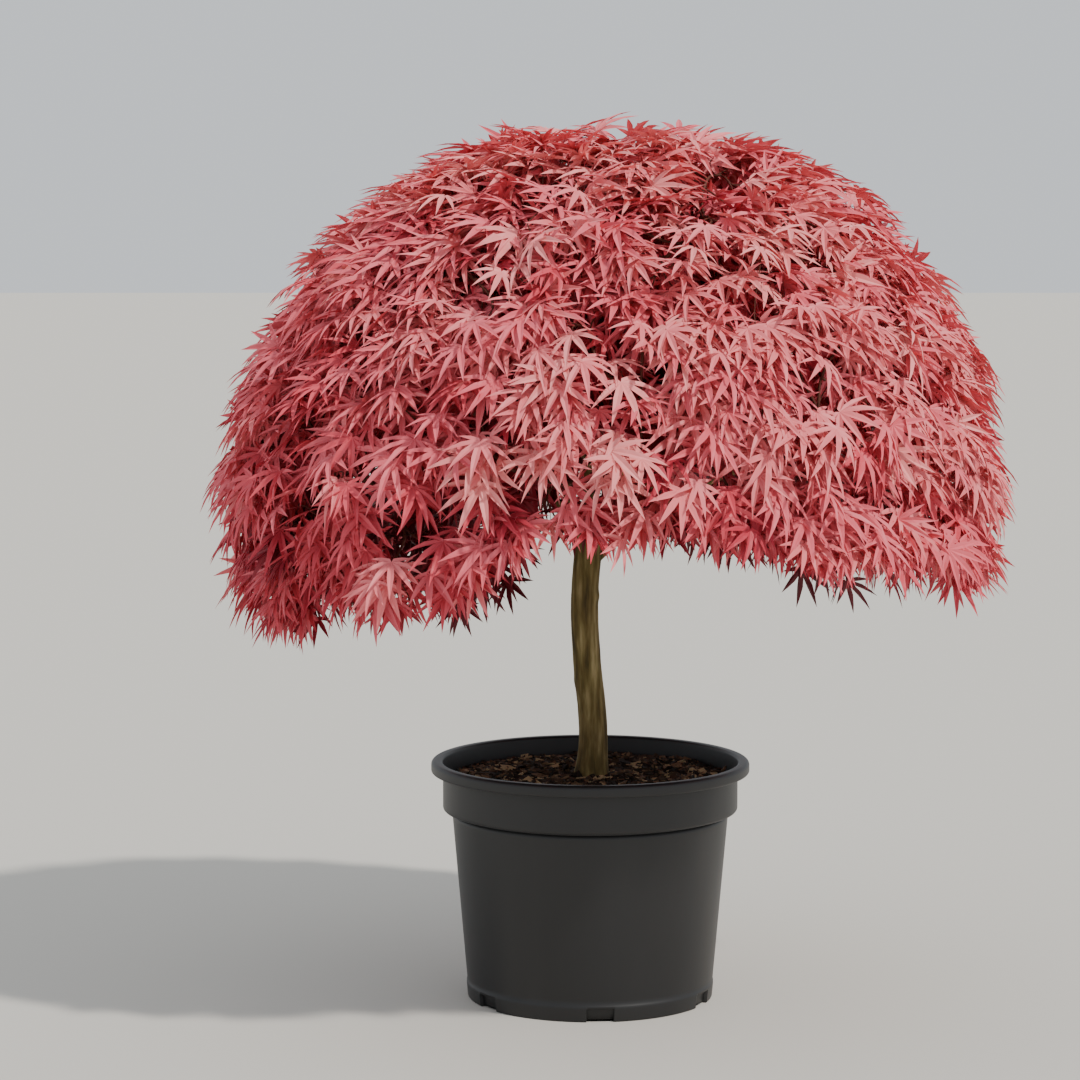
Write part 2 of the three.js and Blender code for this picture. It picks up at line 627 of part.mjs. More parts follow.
// A leaf goes where the first of the tries leaves it clear of the limbs and of every other leaf.
function growLeaf(mass, place, i, tries, newTwigs) {
  let mayGrow = newTwigs;
  for (const [size, inset, drawn] of tries) {
    const { tip, axis, face } = hang(drawnIn(place, mass.bough.seat, drawn), i, inset);
    const length = LEAF_LENGTH * size;
    const centre = tip.clone().addScaledVector(axis, -length).addScaledVector(face, LEAF_DROOP * length);
    const outline = leafOutline(centre, axis, face, length);
    if (Math.min(...[...outline.right, ...outline.left].map((p) => roomIn(mass, p))) < -OVERHANG) continue;
    let node = stalkNode(mass, centre, axis);
    if (!node && mayGrow) {
      mayGrow -= 1;
      node = growTwig(mass, slideIn(mass, centre.clone().addScaledVector(axis, -STALK), axis, STALK / 12), axis);
    }
    if (!node) continue;
    const leaf = pieceOf(mass, leafSolid(outline, centre, face, node.point));
    if (!clear(leaf, [...limbPieces, ...elsewhere(twigs, mass)])) continue;
    const free = node.point.clone().lerp(centre, BLADE_FOOT / centre.distanceTo(node.point));
    const blade = pieceOf(mass, leafSolid(outline, centre, face, free));
    if (!clear(leaf, elsewhere(leaves, mass))) continue;
    if (!clear(blade, leaves.filter((other) => other.mass === mass).map((other) => other.blade))) continue;
    node.taken = true;
    leaves.push({ ...leaf, blade });
    return true;
  }
  return false;
}

// The first twigs, the shortest way from its stem first, and then the leaves
for (const mass of masses) startMass(mass);
const tips = [];
for (let i = 0; i < TWIG_COUNT; i++) {
  const place = crownPlace(i);
  const [mass] = massesOfLeaf(place, i);
  const { tip, axis, face } = hang(place, i, TWIG_INSET);
  const root = tip.addScaledVector(axis, -LEAF_LENGTH - STALK).addScaledVector(face, LEAF_DROOP * LEAF_LENGTH);
  slideIn(mass, root, axis, STALK / 3);
  tips.push({ mass, root, axis, way: root.distanceTo(mass.nodes[0].point) });
}
tips.sort((a, b) => a.way - b.way);
for (const { mass, root, axis } of tips) growTwig(mass, root, axis);
const gaps = [];
for (let i = 0; i < LEAF_COUNT; i++) {
  const place = crownPlace(i);
  if (!massesOfLeaf(place, i).some((mass) => growLeaf(mass, place, i, LEAF_TRIES, 1))) gaps.push(i);
}
for (const i of gaps) {
  const place = crownPlace(i);
  massesOfLeaf(place, i).some((mass) => growLeaf(mass, place, i, GAP_TRIES, GAP_TWIGS));
}

const massSolid = (mass) =>
  largestPiece(wasm.Manifold.union([...twigs, ...leaves].filter((piece) => piece.mass === mass).map(({ solid }) => solid)));

// The whole plant
const plant = new THREE.Group();
plant.add(meshOf("pot", potSolid(), MATERIALS.pot));
plant.add(meshOf("soil", soilSolid(), MATERIALS.soil));
plant.add(meshOf("trunk", trunk, MATERIALS.bark));
for (const bough of boughs) plant.add(meshOf("bough_" + bough.mass, bough.solid, MATERIALS.bark));
for (const mass of masses) plant.add(meshOf(mass.name, massSolid(mass), MATERIALS.leaf));

export default plant;
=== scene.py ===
"""A small weeping maple in a round nursery pot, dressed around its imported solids.

The crown is one skin. At each azimuth it has a reach, a waist height and a lower edge, and a fullness that
makes its curve squarer than an ellipse. A place on the skin is an azimuth and a fall, which is 0 at the top
and 1 at the waist. With a = fall * 90 degrees, it lies reach * sin(a) ^ fullness out from the axis, and its
height over the waist is the crown's rise * cos(a) ^ fullness. Places are dealt evenly over the skin. Each
belongs to the mass whose seat is nearest, and a twig grows to it from the node of that mass that reaches it
with the least way and bend. Leaves hang from the twigs in pairs, down and outwards like shingles. Those that
would leave the skin are skipped. Lengths are in mm. An azimuth is in degrees from the right, anticlockwise
seen from above, and a turn is the same in radians.
"""

import math

import bpy
import numpy as np
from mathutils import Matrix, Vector


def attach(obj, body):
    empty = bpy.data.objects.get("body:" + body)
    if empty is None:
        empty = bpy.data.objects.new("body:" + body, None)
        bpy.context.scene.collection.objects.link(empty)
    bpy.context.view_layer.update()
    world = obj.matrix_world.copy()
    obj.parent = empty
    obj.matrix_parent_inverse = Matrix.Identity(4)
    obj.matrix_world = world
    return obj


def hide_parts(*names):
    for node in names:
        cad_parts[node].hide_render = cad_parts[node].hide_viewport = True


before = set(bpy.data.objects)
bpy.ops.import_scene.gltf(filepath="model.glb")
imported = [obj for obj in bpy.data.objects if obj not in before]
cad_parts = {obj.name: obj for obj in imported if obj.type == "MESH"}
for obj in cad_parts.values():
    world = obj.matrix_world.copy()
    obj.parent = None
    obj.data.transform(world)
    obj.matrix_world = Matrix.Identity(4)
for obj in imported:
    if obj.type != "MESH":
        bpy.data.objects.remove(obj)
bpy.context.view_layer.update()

# Pot
# A round nursery container, injection moulded in black plastic with a wall of 3 mm. It has a straight collar
# and a rolled rim for lifting, and drain pockets are moulded into the foot, where it stands on the ground.

MM = 0.001
FULL_TURN = 2 * math.pi
TINY = 1e-9
EVENLY = (1, 1, 1)
rng = np.random.default_rng(11)


def tint(code):
    """An sRGB hex colour as the linear colour that a shader takes."""
    parts = [int(code[i : i + 2], 16) / 255 for i in (1, 3, 5)]
    return [p / 12.92 if p <= 0.04045 else ((p + 0.055) / 1.055) ** 2.4 for p in parts] + [1.0]


def unit(vectors):
    """The vectors at length 1."""
    return vectors / np.maximum(np.linalg.norm(vectors, axis=-1, keepdims=True), TINY)


def shader_of(made):
    return made.node_tree.nodes["Principled BSDF"]


def new_material(name, colour, roughness, specular=0.5):
    made = bpy.data.materials.new(name)
    made.use_nodes = True
    shader = shader_of(made)
    shader.inputs["Base Color"].default_value = tint(colour)
    shader.inputs["Roughness"].default_value = roughness
    shader.inputs["Specular IOR Level"].default_value = specular
    return made


def add_node(made, kind, settings=None, links=None):
    """A shader node with its settings, its own properties or its sockets' values, and its incoming links."""
    node = made.node_tree.nodes.new("ShaderNode" + kind)
    for name, value in (settings or {}).items():
        if hasattr(node, name):
            setattr(node, name, value)
        else:
            node.inputs[name].default_value = value
    for name, source in (links or {}).items():
        made.node_tree.links.new(source, node.inputs[name])
    return node


def stretched(made, scale):
    """The object's own coordinates in metres, times a scale along each axis."""
    place = add_node(made, "TexCoord").outputs["Object"]
    return add_node(made, "Mapping", {"Scale": scale}, {"Vector": place}).outputs["Vector"]


def noise(made, scale, detail, per_metre=1.0):
    """A noise between 0 and 1 that varies so many times a metre, more along an axis with a larger scale."""
    place = stretched(made, scale)
    return add_node(made, "TexNoise", {"Scale": per_metre, "Detail": detail}, {"Vector": place}).outputs[0]


def blend_colours(made, share, colours):
    """A colour ramp over a share, from the places of its colours and their codes."""
    ramp = add_node(made, "ValToRGB", links={"Fac": share})
    steps = ramp.color_ramp.elements
    while len(steps) < len(colours):
        steps.new(0.5)
    for step, (position, colour) in zip(steps, colours):
        step.position = position
        step.color = tint(colour)
    return ramp.outputs["Color"]


def bump(made, height, depth_mm, strength=1.0):
    """Fine relief in a material from a height between 0 and 1 and its depth."""
    node = add_node(made, "Bump", {"Strength": strength, "Distance": depth_mm * MM}, {"Height": height})
    made.node_tree.links.new(node.outputs["Normal"], shader_of(made).inputs["Normal"])


def make_piece(name, points, faces, materials, material_index=None, smooth=True):
    """A mesh object from points in mm and triangles, as whole arrays."""
    mesh = bpy.data.meshes.new(name)
    mesh.vertices.add(len(points))
    mesh.vertices.foreach_set("co", (np.asarray(points) * MM).astype(np.float32).ravel())
    mesh.loops.add(3 * len(faces))
    mesh.loops.foreach_set("vertex_index", np.asarray(faces, dtype=np.int32).ravel())
    mesh.polygons.add(len(faces))
    mesh.polygons.foreach_set("loop_start", np.arange(0, 3 * len(faces), 3, dtype=np.int32))
    mesh.polygons.foreach_set("use_smooth", np.full(len(faces), smooth))
    for material in materials:
        mesh.materials.append(material)
    if material_index is not None:
        mesh.polygons.foreach_set("material_index", np.asarray(material_index, dtype=np.int32))
    mesh.update(calc_edges=True)
    made = bpy.data.objects.new(name, mesh)
    bpy.context.scene.collection.objects.link(made)
    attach(made, "root")
    return made


def halved(quads):
    """Each row of four corners as two triangles."""
    return np.concatenate([quads[:, [0, 1, 2]], quads[:, [0, 2, 3]]])


def turned_piece(name, profile, turns, move, materials):
    """A closed surface turned round the axis. Its profile runs from the axis underneath, out, up and in."""
    profile = np.array(profile, dtype=float)
    radius, height = (profile[:, None, k] + 0 * turns[None, :] for k in (0, 1))
    radius, height = move(radius, height, turns[None, :])
    points = np.stack([radius * np.cos(turns), radius * np.sin(turns), height], -1)
    rows, columns = radius.shape
    index = np.arange(rows * columns).reshape(rows, columns)
    right = np.roll(index, -1, axis=1)
    quads = np.stack([index[:-1], right[:-1], right[1:], index[1:]], -1).reshape(-1, 4)
    faces = halved(quads)
    faces = faces[radius.ravel()[faces].max(axis=1) > 0]
    return make_piece(name, points.reshape(-1, 3), faces, materials)


def stepped(profile, step):
    """The profile with points every step or so along its straight lengths, so that shading stays even."""
    out = [profile[0]]
    for start, end in zip(profile[:-1], profile[1:]):
        count = max(1, round(math.dist(start, end) / step))
        out += [tuple(np.array(start) + (np.array(end) - start) * (k + 1) / count) for k in range(count)]
    return out


POT_HEIGHT, RIM_RADIUS, RIM_DEPTH = 285, 190, 14
COLLAR_RADIUS, COLLAR_DEPTH = 176, 45
BODY_TOP_RADIUS, BODY_FOOT_RADIUS, WALL = 165, 146, 3
FOOT_BAND_HEIGHT, FOOT_BAND_PROUD, FOOT_BAND_TAPER = 19, 0.8, 1.2
DRAIN_COUNT, DRAIN_WIDTH, DRAIN_HEIGHT, DRAIN_DEPTH, DRAIN_BACK = 6, 32, 15.5, 26, 12
FRONT_DRAIN_TURN = math.radians(274)
RIM_FOOT = POT_HEIGHT - RIM_DEPTH
COLLAR_FOOT = RIM_FOOT - COLLAR_DEPTH
COLLAR_EDGE = COLLAR_FOOT - 0.5
EDGE_SOFTNESS = 0.4
FOOT_ROUNDING, COLLAR_NOOK, COLLAR_ROUNDING = 2, 2.5, 4
RIM_NOOK, RIM_LOWER_ROUNDING, RIM_OUTER_ROUNDING, RIM_INNER_ROUNDING = 2, 3, 5, 4
INNER_STEP, INNER_DRAFT = 4, 1
OUTER_STEP_LENGTH, INNER_STEP_LENGTH = 6, 12
POT_SIDES = 240


def arc(centre, size, start, end, count=6):
    """Points along an arc of the profile, its angles in degrees from straight out."""
    angles = np.radians(np.linspace(start, end, count))
    return [(centre[0] + size * math.cos(a), centre[1] + size * math.sin(a)) for a in angles]


def nook(radius, top, size, count=6):
    """A rounded inner corner, from a wall that rises at a radius out to an underside at a height."""
    return arc((radius + size, top - size), size, 180, 90, count)


def lower_edge(radius, foot, size):
    """A rounded outer edge, from an underside at a height up to a wall that rises at a radius."""
    return arc((radius - size, foot + size), size, -90, 0)


def pot_profile():
    """Half of the section, from the axis underneath, up the outside, over the rim and down the inside."""
    band = BODY_FOOT_RADIUS + FOOT_BAND_PROUD + FOOT_BAND_TAPER
    outside = [(0, 0), (BODY_FOOT_RADIUS - DRAIN_DEPTH - DRAIN_BACK, 0)]
    outside += arc((BODY_FOOT_RADIUS - FOOT_BAND_TAPER, FOOT_ROUNDING), FOOT_ROUNDING, -90, -4)
    outside += [(band, DRAIN_HEIGHT - EDGE_SOFTNESS), (band, DRAIN_HEIGHT + EDGE_SOFTNESS)]
    outside += [(band, FOOT_BAND_HEIGHT), (band - FOOT_BAND_PROUD, FOOT_BAND_HEIGHT + FOOT_BAND_PROUD)]
    outside += [(BODY_TOP_RADIUS, COLLAR_EDGE - COLLAR_NOOK)]
    outside += nook(BODY_TOP_RADIUS, COLLAR_EDGE, COLLAR_NOOK)
    outside += lower_edge(COLLAR_RADIUS, COLLAR_EDGE, COLLAR_ROUNDING)
    outside += [(COLLAR_RADIUS, RIM_FOOT - RIM_NOOK - 1), *nook(COLLAR_RADIUS, RIM_FOOT, RIM_NOOK, 4)]
    outside += lower_edge(RIM_RADIUS, RIM_FOOT, RIM_LOWER_ROUNDING)
    outer_centre = (RIM_RADIUS - RIM_OUTER_ROUNDING, POT_HEIGHT - RIM_OUTER_ROUNDING)
    inner_centre = (RIM_RADIUS - 2 * RIM_OUTER_ROUNDING, POT_HEIGHT - RIM_INNER_ROUNDING)
    rim = arc(outer_centre, RIM_OUTER_ROUNDING, 0, 90, 8)
    rim += arc(inner_centre, RIM_INNER_ROUNDING, 90, 180)
    inside = [(COLLAR_RADIUS - WALL, RIM_FOOT - INNER_STEP)]
    inside += [(COLLAR_RADIUS - WALL - INNER_DRAFT, COLLAR_FOOT + INNER_STEP)]
    inside += [(BODY_TOP_RADIUS - WALL, COLLAR_FOOT - INNER_STEP)]
    inside += [(BODY_FOOT_RADIUS - WALL, WALL), (0, WALL)]
    return stepped(outside + rim, OUTER_STEP_LENGTH) + stepped(inside, INNER_STEP_LENGTH)


def even_turns(count):
    """Turns at even steps round the axis."""
    return np.arange(count) * FULL_TURN / count


drains = FRONT_DRAIN_TURN + even_turns(DRAIN_COUNT)
pocket_turn = DRAIN_WIDTH / 2 / BODY_FOOT_RADIUS
softness_turn = EDGE_SOFTNESS / BODY_FOOT_RADIUS
pocket_sides = [side * pocket_turn + edge * softness_turn for side in (-1, 1) for edge in (-1, 1)]
pocket_edges = [drain + side for drain in drains for side in pocket_sides]
pot_turns = np.unique(np.mod(np.concatenate([even_turns(POT_SIDES), pocket_edges]), FULL_TURN))


def press_in_drains(radius, height, turns):
    """Move the foot in at each drain, as deep as its pocket, and leave the inside as it is."""
    from_drain = np.abs((turns - drains[:, None, None] + math.pi) % FULL_TURN - math.pi).min(axis=0)
    outer = radius > BODY_FOOT_RADIUS - WALL / 2
    pocket = (from_drain < pocket_turn) & (height < DRAIN_HEIGHT) & outer
    return np.where(pocket, radius - DRAIN_DEPTH, radius), height


plastic = new_material("black moulded plastic", "#19191a", roughness=0.46)
grain = noise(plastic, EVENLY, detail=3.0, per_metre=900.0)
dust = noise(plastic, (9, 9, 2.5), detail=5.0)
dusty = blend_colours(plastic, dust, [(0.35, "#161617"), (0.62, "#1c1c1d"), (0.8, "#262422")])
plastic.node_tree.links.new(dusty, shader_of(plastic).inputs["Base Color"])
bump(plastic, grain, depth_mm=0.12, strength=0.5)
pot = turned_piece("pot_shell", pot_profile(), pot_turns, press_in_drains, [plastic])
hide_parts("pot")

# Soil
# Moist bark compost that fills the pot to just under its rim. It is a lumpy dark bed with loose chips of
# composted bark and wood lying on it.

SOIL_SURFACE, SOIL_LUMPS, SOIL_SINK, CLEARANCE = 266, 1.8, 3, 0.3
COARSE_CRUMBS, FINE_CRUMBS, CRUMBS_RISE_OVER = 0.7, 0.45, 8
SOIL_SIDES, SOIL_RINGS, SOIL_SHOULDER = 200, 70, 6
TRUNK_CLEAR, WALL_CLEAR = 24, 11
CHIP_COUNT = 2600
CHIP_HALF_SIZES = [(3, 10), (1.8, 4.5), (0.7, 1.8)]
CHIP_CRUMPLE, CHIP_TILT, CHIP_LIFT = 0.3, 0.3, 1.8
CHIP_TONES = ["#271d16", "#433225", "#6c543e", "#a38a68"]
CHIP_SHARES = [0.38, 0.32, 0.2, 0.1]


def soil_height(x, y):
    """The bed's surface: the solids' slow swell that sinks to the wall, with two sizes of crumbs on it."""
    out = np.hypot(x, y)
    lumps = SOIL_LUMPS * (np.sin(x * 0.041 + 1) * np.cos(y * 0.037) - 0.7)
    swell = lumps - SOIL_SINK * (out / COLLAR_RADIUS) ** 2
    bent_x, bent_y = x * 0.43 + 2 * np.sin(y * 0.21), y * 0.39 + 2 * np.sin(x * 0.17)
    crumbs = COARSE_CRUMBS * np.sin(bent_x) * np.cos(bent_y)
    crumbs += FINE_CRUMBS * np.sin(x * 1.1 + y * 0.7) * np.sin(y * 1.3 - x * 0.5)
    return SOIL_SURFACE + swell + crumbs * np.clip((out - TRUNK_CLEAR) / CRUMBS_RISE_OVER, 0, 1)


def soil_profile():
    """Half of the bed's section: from the axis underneath, up just inside the wall, and in over the top."""
    foot = BODY_FOOT_RADIUS - WALL - CLEARANCE
    middle = BODY_TOP_RADIUS - WALL - CLEARANCE
    collar = COLLAR_RADIUS - WALL - INNER_DRAFT - CLEARANCE
    side = [(0, WALL + CLEARANCE), (foot, WALL + CLEARANCE), (middle, COLLAR_FOOT - INNER_STEP)]
    side += [(collar, COLLAR_FOOT + INNER_STEP), (collar, SOIL_SURFACE - SOIL_SHOULDER)]
    top = [(r, SOIL_SURFACE) for r in np.linspace(COLLAR_RADIUS - WALL - 2 * INNER_DRAFT, 0, SOIL_RINGS)]
    return side + top


def lay_soil(radius, height, turns):
    """Lay the top of the profile on the bed's surface."""
    surface = soil_height(radius * np.cos(turns), radius * np.sin(turns))
    return radius, np.where(height == SOIL_SURFACE, surface, height)


compost = new_material("moist bark compost", "#2a1e15", roughness=0.95, specular=0.25)
crumb = noise(compost, EVENLY, detail=6.0, per_metre=140.0)
earth_tones = [(0.3, "#1f1711"), (0.5, "#33261b"), (0.66, "#543f2d"), (0.8, "#826747")]
earth = blend_colours(compost, crumb, earth_tones)
compost.node_tree.links.new(earth, shader_of(compost).inputs["Base Color"])
bump(compost, crumb, depth_mm=2.5)
soil = turned_piece("soil_bed", soil_profile(), even_turns(SOIL_SIDES), lay_soil, [compost])
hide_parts("soil")

chip_materials = [
    new_material(f"bark chip {number}", tone, roughness=0.9, specular=0.25)
    for number, tone in enumerate(CHIP_TONES, start=1)
]


def turned_about(angles, axis):
    """Rotation matrices for many angles about one of the axes."""
    cos, sin = np.cos(angles), np.sin(angles)
    matrix = np.zeros((len(angles), 3, 3))
    a, b = [k for k in range(3) if k != axis]
    matrix[:, axis, axis] = 1
    matrix[:, a, a], matrix[:, b, b] = cos, cos
    matrix[:, a, b], matrix[:, b, a] = -sin, sin
    return matrix


def scatter_chips():
    """Small crumpled boxes that lie on the bed, turned and tilted, with the tone of each."""
    corners = np.array([[x, y, z] for x in (-1, 1) for y in (-1, 1) for z in (-1, 1)], dtype=float)
    sides = [[0, 1, 3, 2], [4, 6, 7, 5], [0, 4, 5, 1], [2, 3, 7, 6], [0, 2, 6, 4], [1, 5, 7, 3]]
    halves = np.stack([rng.uniform(*ends, CHIP_COUNT) for ends in CHIP_HALF_SIZES], -1)
    crumple = 1 + rng.uniform(-CHIP_CRUMPLE, CHIP_CRUMPLE, (CHIP_COUNT, len(corners), 3))
    shapes = corners * halves[:, None] * crumple
    spin = turned_about(rng.uniform(0, FULL_TURN, CHIP_COUNT), 2)
    tilts = [turned_about(rng.normal(0, CHIP_TILT, CHIP_COUNT), axis) for axis in (0, 1)]
    shapes = np.einsum("nij,nvj->nvi", spin @ tilts[0] @ tilts[1], shapes)
    farthest = COLLAR_RADIUS - WALL - WALL_CLEAR
    out = np.sqrt(rng.uniform(TRUNK_CLEAR**2, farthest**2, CHIP_COUNT))
    turn = rng.uniform(0, FULL_TURN, CHIP_COUNT)
    x, y = out * np.cos(turn), out * np.sin(turn)
    centres = np.stack([x, y, soil_height(x, y) + rng.uniform(0, CHIP_LIFT, CHIP_COUNT)], -1)
    points = (shapes + centres[:, None]).reshape(-1, 3)
    faces = halved(np.array(sides))[None] + len(corners) * np.arange(CHIP_COUNT)[:, None, None]
    tones = np.repeat(rng.choice(len(CHIP_TONES), CHIP_COUNT, p=CHIP_SHARES), faces.shape[1])
    return make_piece("soil_chips", points, faces.reshape(-1, 3), chip_materials, tones, smooth=False)


chips = scatter_chips()
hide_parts("soil")

# Trunk and boughs
# Living wood under thin bark: a clear stem with a root flare, a swollen head where it was grafted, and
# tapering boughs that arch out to the crown's masses. The bark is olive brown, with tan streaks that run
# along the grain.

TRUNK_RADIUS, FORK_HEIGHT = 16, 545
TRUNK_RINGS, TRUNK_SIDES = 300, 112
ROOT_FLARE, FLARE_FADE = 8, 0.055
ROOT_COUNT, ROOT_RELIEF, ROOT_TURN = 3, 0.35, 0.6
FOOT_THICKENING, FOOT_THICKENING_FADE = 1.6, 0.3
HEAD_SWELLING, HEAD_RISE, HEAD_NARROWING, HEAD_CLOSING = 5, (0.76, 0.9), 11, (0.93, 1.02)
BARK_RELIEF = 0.45
NEARLY_UPRIGHT = 0.9
TRUNK_WAY = [
    (1.5, 1, SOIL_SURFACE - 12),
    (3.5, 2, 320),
    (-4, 1, 405),
    (-7, -2, 475),
    (-2, 0, FORK_HEIGHT),
    (0, 1, FORK_HEIGHT + 22),
]
# Each knot on the trunk: how proud it is, its share of the way up and its spread there, and its turn.
TRUNK_KNOTS = [(1.3, 0.34, 0.02, 1.1), (1.6, 0.62, 0.018, -2.0)]

# The crown's skin at the eight azimuths of the compass, from the right and anticlockwise seen from above.
CROWN_TOP = 1061
REACH = [514, 498, 480, 468, 467, 464, 468, 490]
WAIST = [490, 530, 550, 550, 542, 535, 569, 540]
EDGE = [445, 490, 505, 465, 410, 425, 525, 495]
FULLNESS = [0.82, 0.85, 0.88, 0.95, 1, 0.95, 0.88, 0.85]
FALL_END, LEAST_FALL = 1.33, 1e-4
FRAME_FALLS, FRAME_STEP = (0.04, 0.96), 0.03
COMPASS = ["right", "back_right", "back", "back_left", "left", "front_left", "front", "front_right"]
UPPERS = ["right", "back_right", "back_left", "left", "front_left", "front_right"]
HEART = np.array([15.0, 0.0, 590.0])
UP = np.array([0.0, 0.0, 1.0])
DEPART_REACH, ARRIVE_REACH = 0.38, 0.34

# Where the boughs go, as in the solids, with slopes in degrees. A bough's tip lies under its mass's seat. Its
# depth there is a share of the way from the skin to the heart.
TOP_TIP = np.array([14.0, 12.0, 832.0])
TOP_BOUGH = dict(departs=(100, 82), arrives=(30, 86), radii=(7.5, 4.6))
UPPER_BOUGH = dict(fall=0.5, depth=0.44, departs=44, arrives=34, radii=(6.6, 4.2))
SKIRT_BOUGH = dict(fall=0.86, depth=0.36, departs=24, arrives=-24, radii=(4.6, 3.4))
LONE_BOUGH, LONE_SLOPE = "right", 42
TOP_RISE, UPPER_RISES, LONE_RISE = 14, (-8, 2), -26
FORK_STEPS, FORK_STEP = 101, 36
BOUGH_RINGS, BOUGH_SIDES = 64, 22
BOUGH_COLLAR, BOUGH_COLLAR_LENGTH = 0.5, 14
JOINT_PROUD, JOINT_SPACING, JOINT_START, JOINT_LENGTH = 0.12, 46, 17, 3.5
BOUGH_RELIEF = 0.04


def heading(azimuth, slope):
    """The direction at an azimuth and a slope over the level, both in degrees."""
    azimuth, slope = np.radians(azimuth), np.radians(slope)
    return np.array([np.cos(azimuth) * np.cos(slope), np.sin(azimuth) * np.cos(slope), np.sin(slope)])


def round_the_crown(values, azimuth):
    """A value at an azimuth, eased between the eight that are given round the crown."""
    values = np.array(values, dtype=float)
    place = np.mod(np.asarray(azimuth) / 45, 8)
    low = np.floor(place).astype(int) % 8
    ease = (1 - np.cos(math.pi * (place - np.floor(place)))) / 2
    return values[low] * (1 - ease) + values[(low + 1) % 8] * ease


def deepest(fullness):
    """How far below the waist the curve goes at the skin's lower end, before it is scaled to the edge."""
    return abs(math.cos(FALL_END * math.pi / 2)) ** fullness


def crown_point(azimuth, fall):
    """The place on the skin at an azimuth and a fall."""
    azimuth, fall = np.broadcast_arrays(np.asarray(azimuth, dtype=float), np.asarray(fall, dtype=float))
    angle = np.maximum(fall, LEAST_FALL) * math.pi / 2
    fullness, waist = round_the_crown(FULLNESS, azimuth), round_the_crown(WAIST, azimuth)
    out = round_the_crown(REACH, azimuth) * np.sin(angle) ** fullness
    rise = np.abs(np.cos(angle)) ** fullness
    below = waist - (waist - round_the_crown(EDGE, azimuth)) * rise / deepest(fullness)
    height = np.where(fall < 1, waist + (CROWN_TOP - waist) * rise, below)
    turn = np.radians(azimuth)
    return np.stack([out * np.cos(turn), out * np.sin(turn), height], -1)


def crown_frame(azimuth, fall):
    """A place on the skin, its way down and its way out."""
    place = np.clip(fall, *FRAME_FALLS)
    down = unit(crown_point(azimuth, place + FRAME_STEP) - crown_point(azimuth, place - FRAME_STEP))
    turn = np.radians(np.asarray(azimuth, dtype=float))
    around = np.stack([-np.sin(turn), np.cos(turn), 0 * turn], -1)
    return crown_point(azimuth, fall), down, unit(np.cross(down, around))


def inward(point, share):
    """A point moved a share of the way to the crown's heart."""
    return point + (HEART - point) * share


def bezier(start, departs, tip, arrives, count):
    """Points along a limb or twig, and its direction at each."""
    length = np.linalg.norm(tip - start)
    a = start + departs * length * DEPART_REACH
    b = tip - arrives * length * ARRIVE_REACH
    s = np.linspace(0, 1, count)[:, None]
    points = (1 - s) ** 3 * start + 3 * (1 - s) ** 2 * s * a + 3 * (1 - s) * s**2 * b + s**3 * tip
    along = 3 * (1 - s) ** 2 * (a - start) + 6 * (1 - s) * s * (b - a) + 3 * s**2 * (tip - b)
    return points, unit(along)


def through(points, shares):
    """A smooth curve through the points, its spans weighted by the roots of their lengths."""
    points = np.array(points, dtype=float)
    knots = np.vstack([2 * points[0] - points[1], points, 2 * points[-1] - points[-2]])
    place = np.clip(shares * (len(points) - 1), 0, len(points) - 1 - TINY)
    k = np.floor(place).astype(int)
    w = (place - k)[:, None]
    p = [knots[k + j] for j in range(4)]
    d = [np.sqrt(np.linalg.norm(p[j + 1] - p[j], axis=1))[:, None] for j in range(3)]
    leave = ((p[1] - p[0]) / d[0] - (p[2] - p[0]) / (d[0] + d[1]) + (p[2] - p[1]) / d[1]) * d[1]
    arrive = ((p[2] - p[1]) / d[1] - (p[3] - p[1]) / (d[1] + d[2]) + (p[3] - p[2]) / d[2]) * d[1]
    curve = p[1] + leave * w + (3 * (p[2] - p[1]) - 2 * leave - arrive) * w**2
    return curve + (2 * (p[1] - p[2]) + leave + arrive) * w**3


def tubes(lines, radii, sides):
    """Closed tubes round many lines: the lines as [tube, ring, xyz], the radii as [tube, ring, side]."""
    count, rings, _ = lines.shape
    along = unit(np.gradient(lines, axis=1))
    helper = np.where(np.abs(along[:, :1, 2:]) > NEARLY_UPRIGHT, np.array([1.0, 0, 0]), UP)
    normal = unit(np.cross(along[:, 0], helper[:, 0]))
    normals = np.empty_like(lines)
    for k in range(rings):
        normal = unit(normal - np.sum(normal * along[:, k], -1, keepdims=True) * along[:, k])
        normals[:, k] = normal
    across = np.cross(along, normals)
    turn = even_turns(sides)
    ways = np.cos(turn)[:, None] * normals[:, :, None] + np.sin(turn)[:, None] * across[:, :, None]
    walls = lines[:, :, None] + np.broadcast_to(radii, (count, rings, sides))[..., None] * ways
    index = np.arange(count * rings * sides).reshape(count, rings, sides)
    side = np.roll(index, -1, axis=2)
    quads = np.stack([index[:, :-1], side[:, :-1], side[:, 1:], index[:, 1:]], -1).reshape(-1, 4)
    feet, tips = (count * rings * sides + k * count + np.arange(count) for k in (0, 1))
    foot = np.stack([side[:, 0], index[:, 0], np.broadcast_to(feet[:, None], (count, sides))], -1)
    tip = np.stack([index[:, -1], side[:, -1], np.broadcast_to(tips[:, None], (count, sides))], -1)
    points = np.concatenate([walls.reshape(-1, 3), lines[:, 0], lines[:, -1]])
    return points, np.concatenate([halved(quads), foot.reshape(-1, 3), tip.reshape(-1, 3)])


def joined(parts):
    """Several meshes' points and triangles as one, and the number of the part that each triangle is from."""
    starts = np.cumsum([0] + [len(points) for points, _ in parts[:-1]])
    points = np.concatenate([points for points, _ in parts])
    faces = np.concatenate([faces + start for (_, faces), start in zip(parts, starts)])
    return points, faces, np.concatenate([np.full(len(faces), k) for k, (_, faces) in enumerate(parts)])


def bough_line(bough, count):
    """Points along a bough."""
    return bezier(bough["start"], bough["departs"], bough["tip"], bough["arrives"], count)[0]


